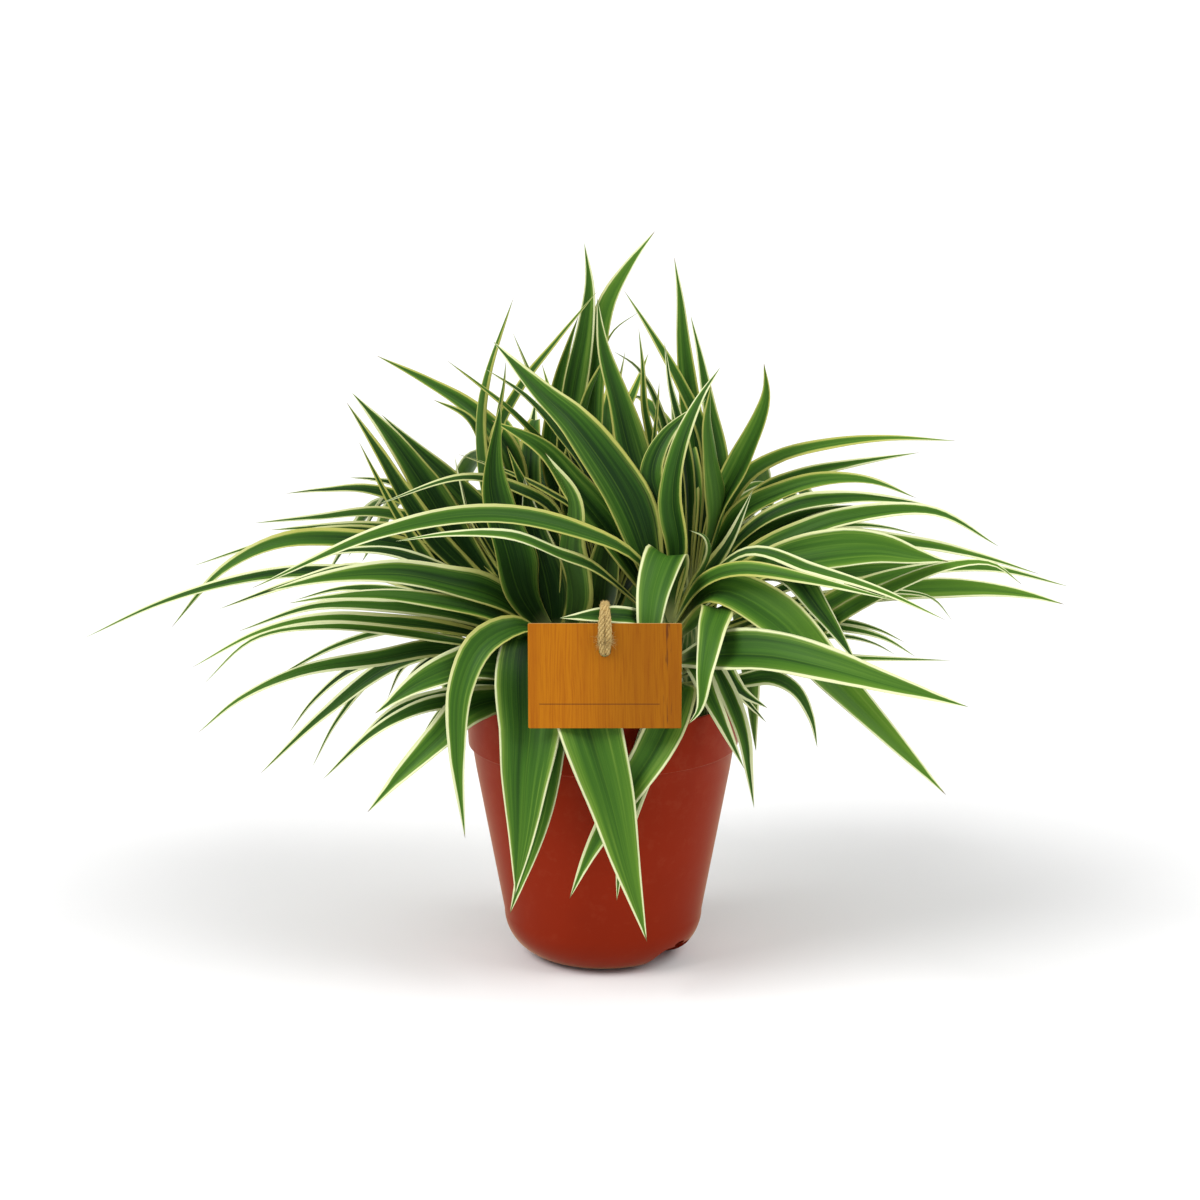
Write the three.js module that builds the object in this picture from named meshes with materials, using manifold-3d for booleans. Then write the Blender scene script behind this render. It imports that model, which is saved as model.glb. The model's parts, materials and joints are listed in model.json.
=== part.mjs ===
// A potted spider plant: a filled nursery pot, five crowns of arching striped leaves, and a
// card tag that hangs on a twine loop from one leaf.
// Millimetres, +Z up. The origin is the middle of the pot's underside, and the front is -Y.
import * as THREE from "three";
import { mergeVertices } from "three/addons/utils/BufferGeometryUtils.js";
import Module from "manifold-3d";

const wasm = await Module();
wasm.setup();

// ---------- driving dimensions ----------
const GAP = 0.3; // between pieces that touch on the real thing

const POT = {
  height: 118,
  rimR: 60, // outside of the rim band at its top
  bandR: 59, // outside of the rim band at its lower edge
  bandHeight: 22.3,
  shoulderR: 57.4, // wall just under the band
  footR: 43.7, // wall where the bottom corner starts
  cornerR: 20.2,
  wall: 1.5,
  sides: 40,
  cornerSteps: 4,
};
// Recesses that let water drain from under the pot, degrees right of the front, each with a slot above it
const RECESS = { turn: 55, width: 25, height: 10, cornerR: 5, depth: 22, count: 2 };
const SLOT = { turn: 54, width: 7, height: 2.2, up: 10.8 };
const SOIL = { top: 106, crumble: 1.5, sides: 28 }; // crumble: how far the middle stands above the edge

// Each crown is a short stem of sheathed leaf feet that stands in a hole in the soil.
const STEM = { footR: 9, topR: 4.5, sunk: 20, sides: 10, sunkFoot: 0.55 };
const CROWNS = {
  front_right: { x: 27, y: -16, top: 166 },
  front_left: { x: -18, y: -20, top: 152 },
  back_left: { x: -34, y: 14, top: 160 },
  back_middle: { x: 0, y: 28, top: 166 },
  back_right: { x: 38, y: 12, top: 164 },
};

const CARD = { width: 63.1, height: 44.3, thick: 1, x: 0.6, bottom: 122.3, y: -77, holeR: 3.5, holeDrop: 11.6 };
const TIE = { width: 5, strand: 1.8, back: 7.6, rise: 7.6, corner: 1 };

// The eye that the traced leaves are seen from.
const EYE = new THREE.Vector3(-1.4, -1300, 452);

const BLADE = {
  rings: (width) => (width >= 13 ? 8 : width >= 7 ? 6 : 5), // below the tip
  thick: 1.3, // at the midrib
  thinning: 0.5, // how much of that is lost by the tip
  footShare: 0.3, // width at the foot as a share of the full width
  widest: 0.4, // share of a hidden leaf's length where it is widest
  taper: 1.35, // 1 would be straight edges from the widest place to the tip
  fold: THREE.MathUtils.degToRad(22), // each half is raised by this from flat
  turn: 52, // degrees that a blade turns its upper face to the front
};
const CLEAR = 0.45; // room kept round a blade on each side
const OWN_FROM = 0.34; // blades of one crown may meet only before this share of their length
const SMOOTHED = 0.08; // how far a fused crown's surface may move where blades cross

// Traced leaves: crown, width where widest, share of the length where that is, then three to
// five points along the midrib, the last of them the tip.
// A point is [across, up, depth]: across and up as seen from the eye in the upright plane
// through the pot's axis, and depth as the point's own Y.
const TRACED = [
  // the long front leaves over the pot
  ["front_left", 28, 0.35, [-14, 138, -52], [-6, 102, -74], [3, 70, -80], [10, 40, -84], [19.5, 3, -88]],
  ["front_left", 29, 0.38, [-31, 140, -46], [-32, 100, -68], [-34, 80, -74], [-36, 52, -78], [-39, 25, -80]],
  ["front_left", 18, 0.4, [-24, 132, -44], [-25, 100, -62], [-29, 62, -67], [-37, 31, -70], [-41.5, 16, -70]],
  ["front_right", 17, 0.4, [33, 118, -58], [24, 95, -68], [10, 72, -71], [-6, 44, -74], [-15, 23, -75]],
  ["front_right", 13, 0.4, [27, 112, -50], [16, 80, -62], [9, 52, -65], [6, 22, -66]],
  ["front_right", 17, 0.45, [30, 172, -27], [27, 178, -38], [22, 164, -50], [20, 148, -57], [19, 114, -60]],
  ["front_right", 15, 0.4, [50, 155, -48], [47.5, 145, -64], [44.5, 128, -76], [42, 110, -80], [37, 103, -80]],
  ["front_left", 13, 0.4, [-36, 147, -50], [-53, 139, -58], [-62, 120, -64], [-64, 90, -68], [-61, 51, -70]],
  // the leaves that stand up in front
  ["front_right", 23, 0.4, [17, 182, -24], [8, 205, -24], [-13, 236, -24], [-27, 250, -20], [-47, 272, -12]],
  ["front_right", 13, 0.4, [33, 182, -28], [30, 204, -28], [33, 225, -26], [41, 246, -22], [50, 261, -18]],
  ["front_right", 13, 0.4, [26, 196, -20], [21, 215, -18], [27, 231, -14], [44, 247, -8]],
  ["front_right", 7, 0.4, [54, 184, -12], [60, 197, -10], [64.5, 208, -8]],
  ["front_right", 7, 0.4, [46, 180, -24], [44, 187, -26], [37, 190, -28]],
  ["front_right", 18, 0.45, [4, 186, -26], [-13, 208, -24], [-26, 225, -22], [-48, 238, -20]],
  ["front_left", 25, 0.4, [-36, 160, -30], [-42, 180, -34], [-49, 212, -30], [-44, 246, -26]],
  ["front_left", 21, 0.4, [-13, 160, -34], [-16, 180, -36], [-14, 203, -34], [-25, 224, -28]],
  ["front_left", 11, 0.4, [-22, 180, -8], [-30, 200, -12], [-36, 213, -14], [-41.5, 227, -12]],
  // the sweeps to the left
  ["front_right", 10, 0.45, [15, 176, -34], [-12, 189.5, -50], [-50, 196.5, -62], [-95, 189, -72], [-153, 164, -80]],
  ["front_right", 8, 0.45, [-4, 172.5, -40], [-19, 178.5, -50], [-40, 187, -62], [-66, 188, -70], [-90, 185, -76]],
  ["front_left", 6, 0.45, [-20, 196, -18], [-38, 208.5, -24], [-60, 213, -28], [-98, 201, -32]],
  ["front_left", 16, 0.35, [-46, 160, -36], [-66, 166, -44], [-90, 170.5, -54], [-118, 169, -60], [-146, 163, -62]],
  ["front_left", 9, 0.4, [-48, 152, -44], [-70, 157.5, -56], [-98, 161, -68], [-120, 160, -76], [-137, 157.5, -80]],
  ["front_left", 8, 0.4, [-64, 152, -34], [-95, 156, -42], [-125, 156, -46], [-159, 145, -50]],
  ["front_left", 7, 0.4, [-62, 145, -40], [-95, 149.5, -52], [-125, 150.5, -62], [-150, 144.5, -70], [-180, 128.5, -76]],
  ["front_left", 5, 0.4, [-64, 140.5, -44], [-120, 147, -54], [-152, 141.5, -56], [-175, 121, -58]],
  ["front_left", 9, 0.35, [-70, 137, -30], [-98, 132.5, -36], [-131, 127, -42], [-158, 115, -44], [-178, 99, -44]],
  ["front_left", 5, 0.4, [-66, 149, -26], [-88, 146.5, -34], [-116, 138.5, -38], [-150, 120, -40]],
  ["front_left", 21, 0.35, [-44, 130, -46], [-62, 129, -58], [-80, 122, -66], [-100, 108, -72]],
  ["front_left", 7, 0.4, [-70, 116, -40], [-92, 109, -50], [-114, 88, -56]],
  ["front_left", 8, 0.4, [-60, 114, -46], [-80, 110.5, -56], [-100, 100, -62], [-123.5, 78, -66]],
  ["front_left", 16, 0.4, [-58, 110, -50], [-72, 97, -58], [-88, 81, -62], [-104, 63, -64]],
  ["front_left", 6, 0.4, [-60, 119, -34], [-71, 109, -38], [-80, 97, -38]],
  ["front_left", 7, 0.4, [-60, 137, -20], [-78, 130.5, -24], [-90, 118, -26]],
  ["back_left", 7, 0.4, [-80, 166, 4], [-120, 171.5, 2], [-152, 169, 0], [-190, 158.5, 0], [-226, 142, 0]],
  ["back_left", 8, 0.4, [-78, 164, -6], [-108, 172, -10], [-135, 166, -12], [-167, 155, -12]],
  ["back_left", 9, 0.5, [-80, 181, 8], [-112, 186, 6], [-140, 184.5, 4], [-165, 172, 4], [-188, 146.5, 4]],
  ["back_left", 5, 0.5, [-85, 186, 20], [-120, 189.5, 18], [-148, 183.5, 18], [-178, 174, 18]],
  ["back_left", 9, 0.4, [-72, 185, 28], [-100, 190.5, 28], [-124, 191, 28], [-144, 190, 28]],
  ["back_left", 7, 0.4, [-72, 190, 34], [-96, 197.5, 36], [-124, 195.5, 36], [-151, 193, 36]],
  ["back_left", 7, 0.5, [-72, 196, 40], [-100, 207.5, 42], [-120, 207.5, 44], [-137, 206, 44]],
  ["back_left", 8, 0.4, [-66, 193, 24], [-84, 208, 20], [-98, 212, 18], [-109.5, 213, 18]],
  ["back_left", 17, 0.45, [-60, 180, 18], [-80, 213, 20], [-92, 231, 20], [-107.5, 250, 20]],
  ["back_left", 12, 0.4, [-70, 182, 10], [-86, 205, 8], [-96, 223, 8], [-110, 246, 8]],
  ["back_left", 13, 0.4, [-50, 192, 26], [-66, 211, 28], [-80, 225, 30], [-95, 240.5, 30]],
  ["back_left", 8, 0.35, [-66, 162, 2], [-79, 180, 2], [-90, 198, 2], [-99, 216, 2], [-105, 229, 2]],
  ["back_left", 11, 0.45, [-40, 222, 22], [-56, 242, 26], [-76, 255, 28], [-97, 266, 28]],
  ["back_left", 9, 0.5, [-42, 200, 10], [-50, 224, 12], [-58, 239, 12], [-73, 247, 12]],
  ["back_left", 7, 0.4, [-50, 205, 4], [-53, 235, 4], [-50, 256, 4], [-38, 291, 6]],
  ["back_left", 6, 0.4, [-47, 215, 0], [-45, 240, 0], [-42.5, 254, 0], [-41.5, 264, 0]],
  ["back_left", 6, 0.4, [-47, 225, 16], [-36, 251, 18], [-20, 272, 20], [-2, 294, 24]],
  ["back_left", 5, 0.4, [-58, 196, -6], [-61.5, 210, -8], [-64, 223, -8]],
  ["back_left", 9, 0.35, [-66, 138, -14], [-92, 130, -16], [-123, 107, -14], [-151, 80.5, -12]],
  ["back_left", 6, 0.4, [-80, 134, -4], [-108, 128.5, -6], [-126, 114.5, -6], [-138, 99, -6]],
  ["back_left", 5, 0.4, [-76, 134, -2], [-97, 127, -4], [-116, 105.5, -4], [-128, 83.5, -4]],
  ["back_left", 5, 0.4, [-70, 136, 8], [-86, 130, 10], [-94.5, 114.5, 10]],
  ["back_left", 5, 0.4, [-70, 148, 20], [-92, 150, 22], [-111.5, 147, 22]],
  // the tall leaves at the back
  ["back_middle", 13, 0.6, [-3, 215, 30], [-3, 255, 34], [2, 287, 34], [11, 304, 32], [22, 319, 30]],
  ["back_right", 21, 0.4, [24, 185, 8], [13, 215, 6], [5, 247, 6], [-1, 270, 8], [-2.7, 291, 8]],
  ["back_middle", 11, 0.6, [-16, 215, 28], [-13, 248, 32], [-7.7, 278, 34], [-6, 296, 34], [-8, 314, 34]],
  ["back_middle", 9, 0.5, [-22, 215, 38], [-20, 250, 40], [-15, 270, 40], [-10.5, 283, 40]],
  ["back_middle", 12, 0.5, [-14, 205, 14], [-10, 230, 16], [-6, 249, 18], [1.4, 267, 20]],
  ["back_middle", 6, 0.5, [22, 215, 28], [18, 245, 28], [17, 262, 28], [15, 278, 28]],
  ["back_middle", 6, 0.5, [20, 212, 20], [23, 238, 18], [24, 255, 18]],
  ["back_middle", 5, 0.5, [6, 215, 26], [6, 246, 26], [9.5, 268.5, 26]],
  ["back_middle", 7, 0.4, [-16, 212, 6], [-36, 238, 0], [-52, 252, -2], [-67, 264, -4]],
  ["back_middle", 8, 0.5, [-14, 222, 12], [-29, 252, 10], [-38.7, 276, 10]],
  ["back_middle", 9, 0.5, [-8, 214, 4], [-21, 233.5, -2], [-34, 248.5, -4], [-50, 260, -6]],
  ["back_middle", 5, 0.4, [-10, 196, 6], [-24, 206.5, 0], [-42, 215.5, -4], [-63, 223.5, -6]],
  ["back_middle", 3, 0.4, [-4, 240, 44], [3, 274.5, 46], [15.7, 285, 46]],
  ["back_right", 5, 0.5, [26, 236, 38], [15, 260, 42], [4, 268, 42]],
  ["back_right", 7, 0.5, [44, 225, 18], [33, 253, 20], [20, 276, 22], [8.6, 294, 22]],
  ["back_right", 10, 0.5, [40, 215, 28], [37, 245, 30], [34, 272, 32], [32.5, 291, 32], [30, 308, 32]],
  ["back_right", 8, 0.5, [50, 215, 12], [45, 244, 14], [41, 266, 14], [37, 283.5, 14]],
  ["back_right", 12, 0.5, [50, 198, 0], [47, 222, -2], [45, 238, -3], [46, 253.5, -4]],
  ["back_right", 8, 0.5, [36, 212, 8], [32, 236, 8], [28, 254, 8], [26, 272, 8]],
  ["back_right", 15, 0.6, [50, 198, 4], [61, 221, 3], [68.5, 239, 2], [70.5, 250, 2], [68.5, 263, 2]],
  // the sweeps to the right
  ["back_right", 8, 0.35, [60, 211, 12], [75, 221.5, 12], [98, 227.5, 12], [122, 230, 12], [152, 229, 12]],
  ["back_right", 7, 0.5, [64, 203, 20], [84, 213.5, 20], [106, 218.7, 22], [136, 224, 22]],
  ["back_right", 10, 0.4, [58, 196, 4], [75, 206, 4], [95, 212, 2], [115, 211.5, 0], [135, 204, 0]],
  ["back_right", 8, 0.55, [62, 189, -2], [82, 200.5, -4], [106, 204, -4], [126, 203, -5], [143.5, 200, -6]],
  ["back_right", 11, 0.4, [56, 172, -12], [80, 186, -14], [104, 195, -16], [142, 198, -16], [171.5, 182.5, -16]],
  ["back_right", 8, 0.5, [62, 190, 12], [78, 195, 14], [95, 196, 14]],
  ["back_right", 5, 0.5, [84, 189, 30], [108, 192, 30], [122, 191, 30], [136, 188, 30]],
  ["back_right", 8, 0.5, [84, 185, 26], [134, 184, 28], [160, 179, 28], [189, 170.5, 28]],
  ["back_right", 8, 0.5, [90, 168, 18], [140, 173, 20], [168, 173, 20], [202, 165, 20]],
  ["back_right", 10, 0.65, [84, 155, 12], [130, 162.5, 12], [162, 163.5, 12], [184, 161, 12], [200.5, 157, 12]],
  ["back_right", 5, 0.4, [92, 160, 6], [128, 162.5, 8], [143, 159.5, 8], [152, 149.5, 8]],
  ["back_right", 9, 0.5, [84, 150, -10], [112, 165, -8], [134, 172.5, -4], [156, 177, 0]],
  ["front_right", 19, 0.65, [62, 170, -26], [92, 179, -32], [118, 181, -34], [136, 178, -34], [149.5, 176, -34]],
  ["front_right", 9, 0.35, [44, 166.5, -42], [60, 172, -54], [88, 168, -66], [128, 158.5, -72]],
  ["front_right", 6, 0.5, [62, 180, -28], [90, 172.5, -38], [120, 163, -48], [149, 150, -54]],
  ["front_right", 16, 0.45, [58, 170, -26], [78, 172, -34], [94, 154, -44], [111, 130, -48]],
  ["front_right", 20, 0.4, [50, 163, -44], [74, 152, -58], [100, 124, -72], [124, 99, -80], [151, 71, -84]],
  ["front_right", 22, 0.4, [46, 134, -54], [72, 134, -72], [98, 128.5, -84], [126, 120.5, -92], [160, 111, -98]],
  ["front_right", 8, 0.5, [80, 138, -24], [112, 157.5, -30], [148, 173.5, -34], [168, 175, -34], [182, 165.5, -34]],
  ["front_right", 4, 0.5, [88, 134, -28], [112, 133, -30], [130, 132.5, -30], [152, 132, -30]],
  ["front_right", 5, 0.5, [82, 150, -8], [106, 149, -10], [120, 145.5, -10], [131.5, 140, -10]],
  ["front_right", 6, 0.5, [80, 147, -14], [106, 146, -16], [122, 142, -16], [136.5, 133.5, -16]],
  ["back_right", 4, 0.5, [84, 142, -2], [106, 142.5, 0], [118, 139.5, 0], [127.5, 134.5, 0]],
  // the inner ones between the crowns
  ["front_left", 19, 0.35, [-24, 162, -16], [-28, 180, -14], [-32, 198, -10], [-34, 213, -6]],
  ["back_middle", 16, 0.35, [-14, 158, 8], [-22, 178, 4], [-30, 200, 2], [-38, 218, 0]],
  ["back_middle", 18, 0.35, [0, 160, 0], [2, 178, -6], [5, 198, -8], [8, 214, -8]],
  ["back_right", 12, 0.4, [54, 176, -2], [68, 187, -4], [88, 197, -4], [108, 201, -4]],
  ["back_left", 7, 0.4, [-70, 172, 2], [-92, 180, 2], [-112, 180.5, 0], [-130, 176, 0]],
  ["front_left", 7, 0.4, [-60, 152, -28], [-88, 162, -32], [-112, 164, -34], [-134, 159, -34]],
  // the short ones round the rim on the right
  ["front_right", 10, 0.4, [40, 130, -46], [46.5, 116, -54], [54, 100, -58], [62, 83, -58]],
  ["front_right", 8, 0.5, [46, 132, -38], [55, 116, -46], [61.5, 98, -50], [64, 82, -50], [66.5, 65, -50]],
  ["front_right", 9, 0.5, [48, 132, -32], [60, 118, -36], [72, 110.5, -36]],
  ["front_right", 5, 0.5, [50, 128, -26], [62, 114, -30], [71.5, 104, -30]],
  ["front_right", 8, 0.5, [58, 122, -26], [73, 124, -28], [83.5, 118.5, -30], [90.5, 106.5, -30], [94, 92.5, -30]],
];

// The leaf that carries the tag passes through its twine loop, face to the front.
const CARRIER = ["front_right", 8.4, 0.72, [16, 150, -60], [1, 152, -72.5], [-19, 151, -74]];

// Leaves that a front view hides, each drawn at random between the limits of its kind:
// how far it reaches, how high it peaks above its foot, where its tip is above its foot, and
// how far its foot is below the top of its crown's stem.
const SEED = 4711;
const KINDS = {
  upright: { width: [8, 15], reach: [40, 80], peak: [62, 88], tip: [70, 98], foot: [4, 12] },
  arching: { width: [9, 20], reach: [110, 165], peak: [36, 62], tip: [-18, 22], foot: [12, 26] },
  drooping: { width: [9, 22], reach: [78, 118], peak: [20, 36], tip: [-96, -42], foot: [26, 40] },
};
// crown, kind, how many, and the first and last heading in degrees round from +X
const HIDDEN = [
  ["back_middle", "arching", 9, 52, 128],
  ["back_left", "arching", 7, 86, 132],
  ["back_right", "arching", 7, 50, 92],
  ["back_middle", "drooping", 5, 66, 114],
  ["back_left", "drooping", 4, 78, 106],
  ["back_right", "drooping", 4, 84, 104],
  ["back_middle", "upright", 4, 56, 124],
  ["back_left", "upright", 3, 66, 106],
  ["back_right", "upright", 3, 84, 120],
];
const NUDGES = [0, 1, -1, 2, -2, 3, -3, 4, -4, 5, -5, 6, -6, 7, -7, 8, -8];
const DEPTH_STEP = 4; // how far one nudge shifts a traced tip along its line of sight
const HEADING_STEP = 3; // degrees that one nudge turns a hidden leaf

const look = (color, roughness, metalness = 0) =>
  new THREE.MeshStandardMaterial({ color, roughness, metalness, side: THREE.DoubleSide });
const MATERIALS = {
  pot: look(0x96321e, 0.5),
  soil: look(0x2a1d14, 1),
  leaf: look(0x3f7a30, 0.5),
  card: look(0xc07418, 0.6),
  twine: look(0xcbb07a, 0.9),
};

// ---------- solids ----------
function solidOf(geometry) {
  const bare = geometry.clone();
  bare.deleteAttribute("normal");
  bare.deleteAttribute("uv");
  const merged = mergeVertices(bare, 1e-4);
  return new wasm.Manifold(
    new wasm.Mesh({
      numProp: 3,
      vertProperties: new Float32Array(merged.attributes.position.array),
      triVerts: new Uint32Array(merged.index.array),
    }),
  );
}

function geometryOf(solid) {
  const { vertProperties, numProp, triVerts } = solid.getMesh();
  const positions = new Float32Array((vertProperties.length / numProp) * 3);
  for (let i = 0; i * numProp < vertProperties.length; i++)
    positions.set(vertProperties.subarray(i * numProp, i * numProp + 3), i * 3);
  const geometry = new THREE.BufferGeometry();
  geometry.setAttribute("position", new THREE.BufferAttribute(positions, 3));
  geometry.setIndex(new THREE.BufferAttribute(new Uint32Array(triVerts), 1));
  geometry.computeVertexNormals();
  return geometry;
}

// A section of [radius, height] points turned round the Z axis; it starts and ends on the axis.
function turned(section, sides) {
  const points = section.map(([r, z]) => new THREE.Vector2(r, z));
  return new THREE.LatheGeometry(points, sides).rotateX(Math.PI / 2);
}

// ---------- pot and soil ----------
// The pot's side from its flat bottom to under the band, moved inwards by inset.
function potSide(inset) {
  const { cornerR, footR, shoulderR, height, bandHeight, cornerSteps } = POT;
  const side = [];
  for (let i = 0; i <= cornerSteps; i++) {
    const angle = (i / cornerSteps) * (Math.PI / 2);
    const r = cornerR - inset;
    side.push([footR - cornerR + r * Math.sin(angle), cornerR - r * Math.cos(angle)]);
  }
  side.push([shoulderR - inset, height - bandHeight]);
  return side;
}

// Bars that run outwards from near the pot's axis and cut its bottom corner; grow widens them.
function recesses(grow) {
  const { turn, width, height, cornerR, depth, count } = RECESS;
  const half = width / 2 + grow;
  const top = height + grow;
  const r = cornerR + grow;
  const arch = new THREE.Shape();
  arch.moveTo(-half, -top).lineTo(half, -top);
  arch.absarc(half - r, top - r, r, 0, Math.PI / 2);
  arch.absarc(r - half, top - r, r, Math.PI / 2, Math.PI);
  const bar = new THREE.ExtrudeGeometry(arch, { depth: POT.rimR, bevelEnabled: false, curveSegments: 3 })
    .translate(0, 0, POT.footR - depth - grow)
    .rotateX(Math.PI / 2); // the bar now runs towards the front
  return Array.from({ length: count }, (_, i) =>
    solidOf(bar.clone().rotateZ(THREE.MathUtils.degToRad(turn + (i * 360) / count))),
  );
}

// The slots through the wall, above the recesses.
function slots() {
  const { turn, width, height, up } = SLOT;
  const opening = new THREE.Shape();
  opening.absellipse(0, 0, width / 2, height / 2, 0, Math.PI * 2);
  const bar = new THREE.ExtrudeGeometry(opening, { depth: POT.rimR, bevelEnabled: false, curveSegments: 4 })
    .rotateX(Math.PI / 2)
    .translate(0, -POT.footR / 2, up);
  return Array.from({ length: RECESS.count }, (_, i) =>
    solidOf(bar.clone().rotateZ(THREE.MathUtils.degToRad(turn + (i * 360) / RECESS.count))),
  );
}

function pot() {
  const { height, rimR, bandR, bandHeight, wall, sides } = POT;
  const outside = [[0, 0], ...potSide(0), [bandR, height - bandHeight], [rimR, height], [0, height]];
  const inside = [[0, wall], ...potSide(wall), [rimR - wall, height], [rimR - wall, height + 1], [0, height + 1]];
  const cavity = recesses(wall).reduce((left, bar) => left.subtract(bar), solidOf(turned(inside, sides)));
  const shell = solidOf(turned(outside, sides)).subtract(cavity);
  return [...recesses(0), ...slots()].reduce((left, bar) => left.subtract(bar), shell);
}

function soil() {
  const inset = POT.wall + GAP;
  const inside = potSide(inset);
  inside.pop();
  // where the soil's edge meets the pot's sloping wall
  const share = (SOIL.top - SOIL.crumble - POT.cornerR) / (POT.height - POT.bandHeight - POT.cornerR);
  const edgeR = POT.footR + (POT.shoulderR - POT.footR) * Math.min(share, 1) - inset;
  let fill = solidOf(
    turned(
      [
        [0, inset],
        ...inside,
        [edgeR, SOIL.top - SOIL.crumble],
        [edgeR * 0.6, SOIL.top],
        [0, SOIL.top],
      ],
      SOIL.sides,
    ),
  );
  for (const bar of recesses(inset)) fill = fill.subtract(bar);
  for (const crown of Object.values(CROWNS)) fill = fill.subtract(stem(crown, GAP));
  return fill;
}

// A crown's stem, or with grow the hole that it stands in.
function stem({ x, y, top }, grow = 0) {
  const bottom = SOIL.top - STEM.sunk - grow;
  return solidOf(
    turned(
      [
        [0, bottom],
        [STEM.footR + grow, bottom],
        [STEM.footR + grow, SOIL.top + 2],
        [STEM.topR + grow, top + grow],
        [0, top + grow],
      ],
      STEM.sides,
    ).translate(x, y, 0),
  );
}

// ---------- card tag and twine ----------
function card() {
  const { width, height, thick, x, bottom, y, holeR, holeDrop } = CARD;
  const face = new THREE.Shape();
  face.moveTo(-width / 2, 0).lineTo(width / 2, 0).lineTo(width / 2, height).lineTo(-width / 2, height).closePath();
  const hole = new THREE.Path();
  hole.absarc(0, height - holeDrop, holeR, 0, Math.PI * 2, true);
  face.holes.push(hole);
  return new THREE.ExtrudeGeometry(face, { depth: thick, bevelEnabled: false, curveSegments: 8 })
    .rotateX(Math.PI / 2)
    .translate(x, y + thick / 2, bottom);
}

// A rounded rectangle in the (Y, Z) plane, grown outwards from the loop's inner edge.
function loopOutline(path, grow) {
  const holeZ = CARD.bottom + CARD.height - CARD.holeDrop;
  const low = { y: CARD.y - CARD.thick / 2 - GAP - grow, z: holeZ + TIE.strand / 2 - grow };
  const high = { y: CARD.y + TIE.back + grow, z: CARD.bottom + CARD.height + TIE.rise - TIE.strand + grow };
  const r = TIE.corner + grow;
  const half = Math.PI / 2;
  path.absarc(high.y - r, high.z - r, r, 0, half);
  path.absarc(low.y + r, high.z - r, r, half, 2 * half);
  path.absarc(low.y + r, low.z + r, r, 2 * half, 3 * half);
  path.absarc(high.y - r, low.z + r, r, 3 * half, 4 * half);
  return path;
}

function tie() {
  const outline = loopOutline(new THREE.Shape(), TIE.strand);
  outline.holes.push(loopOutline(new THREE.Path(), 0));
  return new THREE.ExtrudeGeometry(outline, { depth: TIE.width, bevelEnabled: false, curveSegments: 4 })
    .translate(0, 0, -TIE.width / 2)
    .applyMatrix4(new THREE.Matrix4().set(0, 0, 1, CARD.x, 1, 0, 0, 0, 0, 1, 0, 0, 0, 0, 0, 1));
}

// ---------- leaves ----------
function seen([across, up, depth]) {
  const scale = (depth - EYE.y) / -EYE.y;
  return new THREE.Vector3(EYE.x + (across - EYE.x) * scale, depth, EYE.z + (up - EYE.z) * scale);
}

// A leaf's foot at height z is sunk in its crown's stem, on the side that the leaf leaves by.
function footOf({ x, y, top }, towards, z) {
  const share = (z - SOIL.top) / (top - SOIL.top);
  const depth = STEM.sunkFoot * (STEM.footR + (STEM.topR - STEM.footR) * share);
  const out = new THREE.Vector3(towards.x - x, towards.y - y, 0).setLength(depth);
  return new THREE.Vector3(x, y, z).add(out);
}

// The place a share t of the way along a smooth curve through the points, and its direction there.
function spineThrough(points) {
  const curve = new THREE.CatmullRomCurve3(points, false, "centripetal");
  const reached = [0];
  for (let i = 1; i < points.length; i++) reached.push(reached[i - 1] + points[i].distanceTo(points[i - 1]));
  const ofCurve = (t) => {
    const along = Math.min(t, 1) * reached.at(-1);
    const i = Math.min(reached.findLastIndex((start) => start <= along), points.length - 2);
    return (i + (along - reached[i]) / (reached[i + 1] - reached[i])) / (points.length - 1);
  };
  return { at: (t) => curve.getPoint(ofCurve(t)), along: (t) => curve.getTangent(ofCurve(t)) };
}

function widthAt(t, { width, widest }) {
  if (t < widest) return width * (BLADE.footShare + (1 - BLADE.footShare) * THREE.MathUtils.smoothstep(t, 0, widest));
  return width * (1 - ((t - widest) / (1 - widest)) ** BLADE.taper);
}

// The blade's own directions at t: along it, across it and out of its upper face.
function directionsAt(leaf, t) {
  const along = leaf.spine.along(t);
  const across = leaf.side.clone().addScaledVector(along, -leaf.side.dot(along)).normalize();
  const up = across.clone().cross(along);
  const roll = THREE.MathUtils.degToRad(leaf.turn) * -leaf.side.y;
  return {
    across: across.clone().multiplyScalar(Math.cos(roll)).addScaledVector(up, -Math.sin(roll)),
    up: up.multiplyScalar(Math.cos(roll)).addScaledVector(across, Math.sin(roll)),
  };
}

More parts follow.
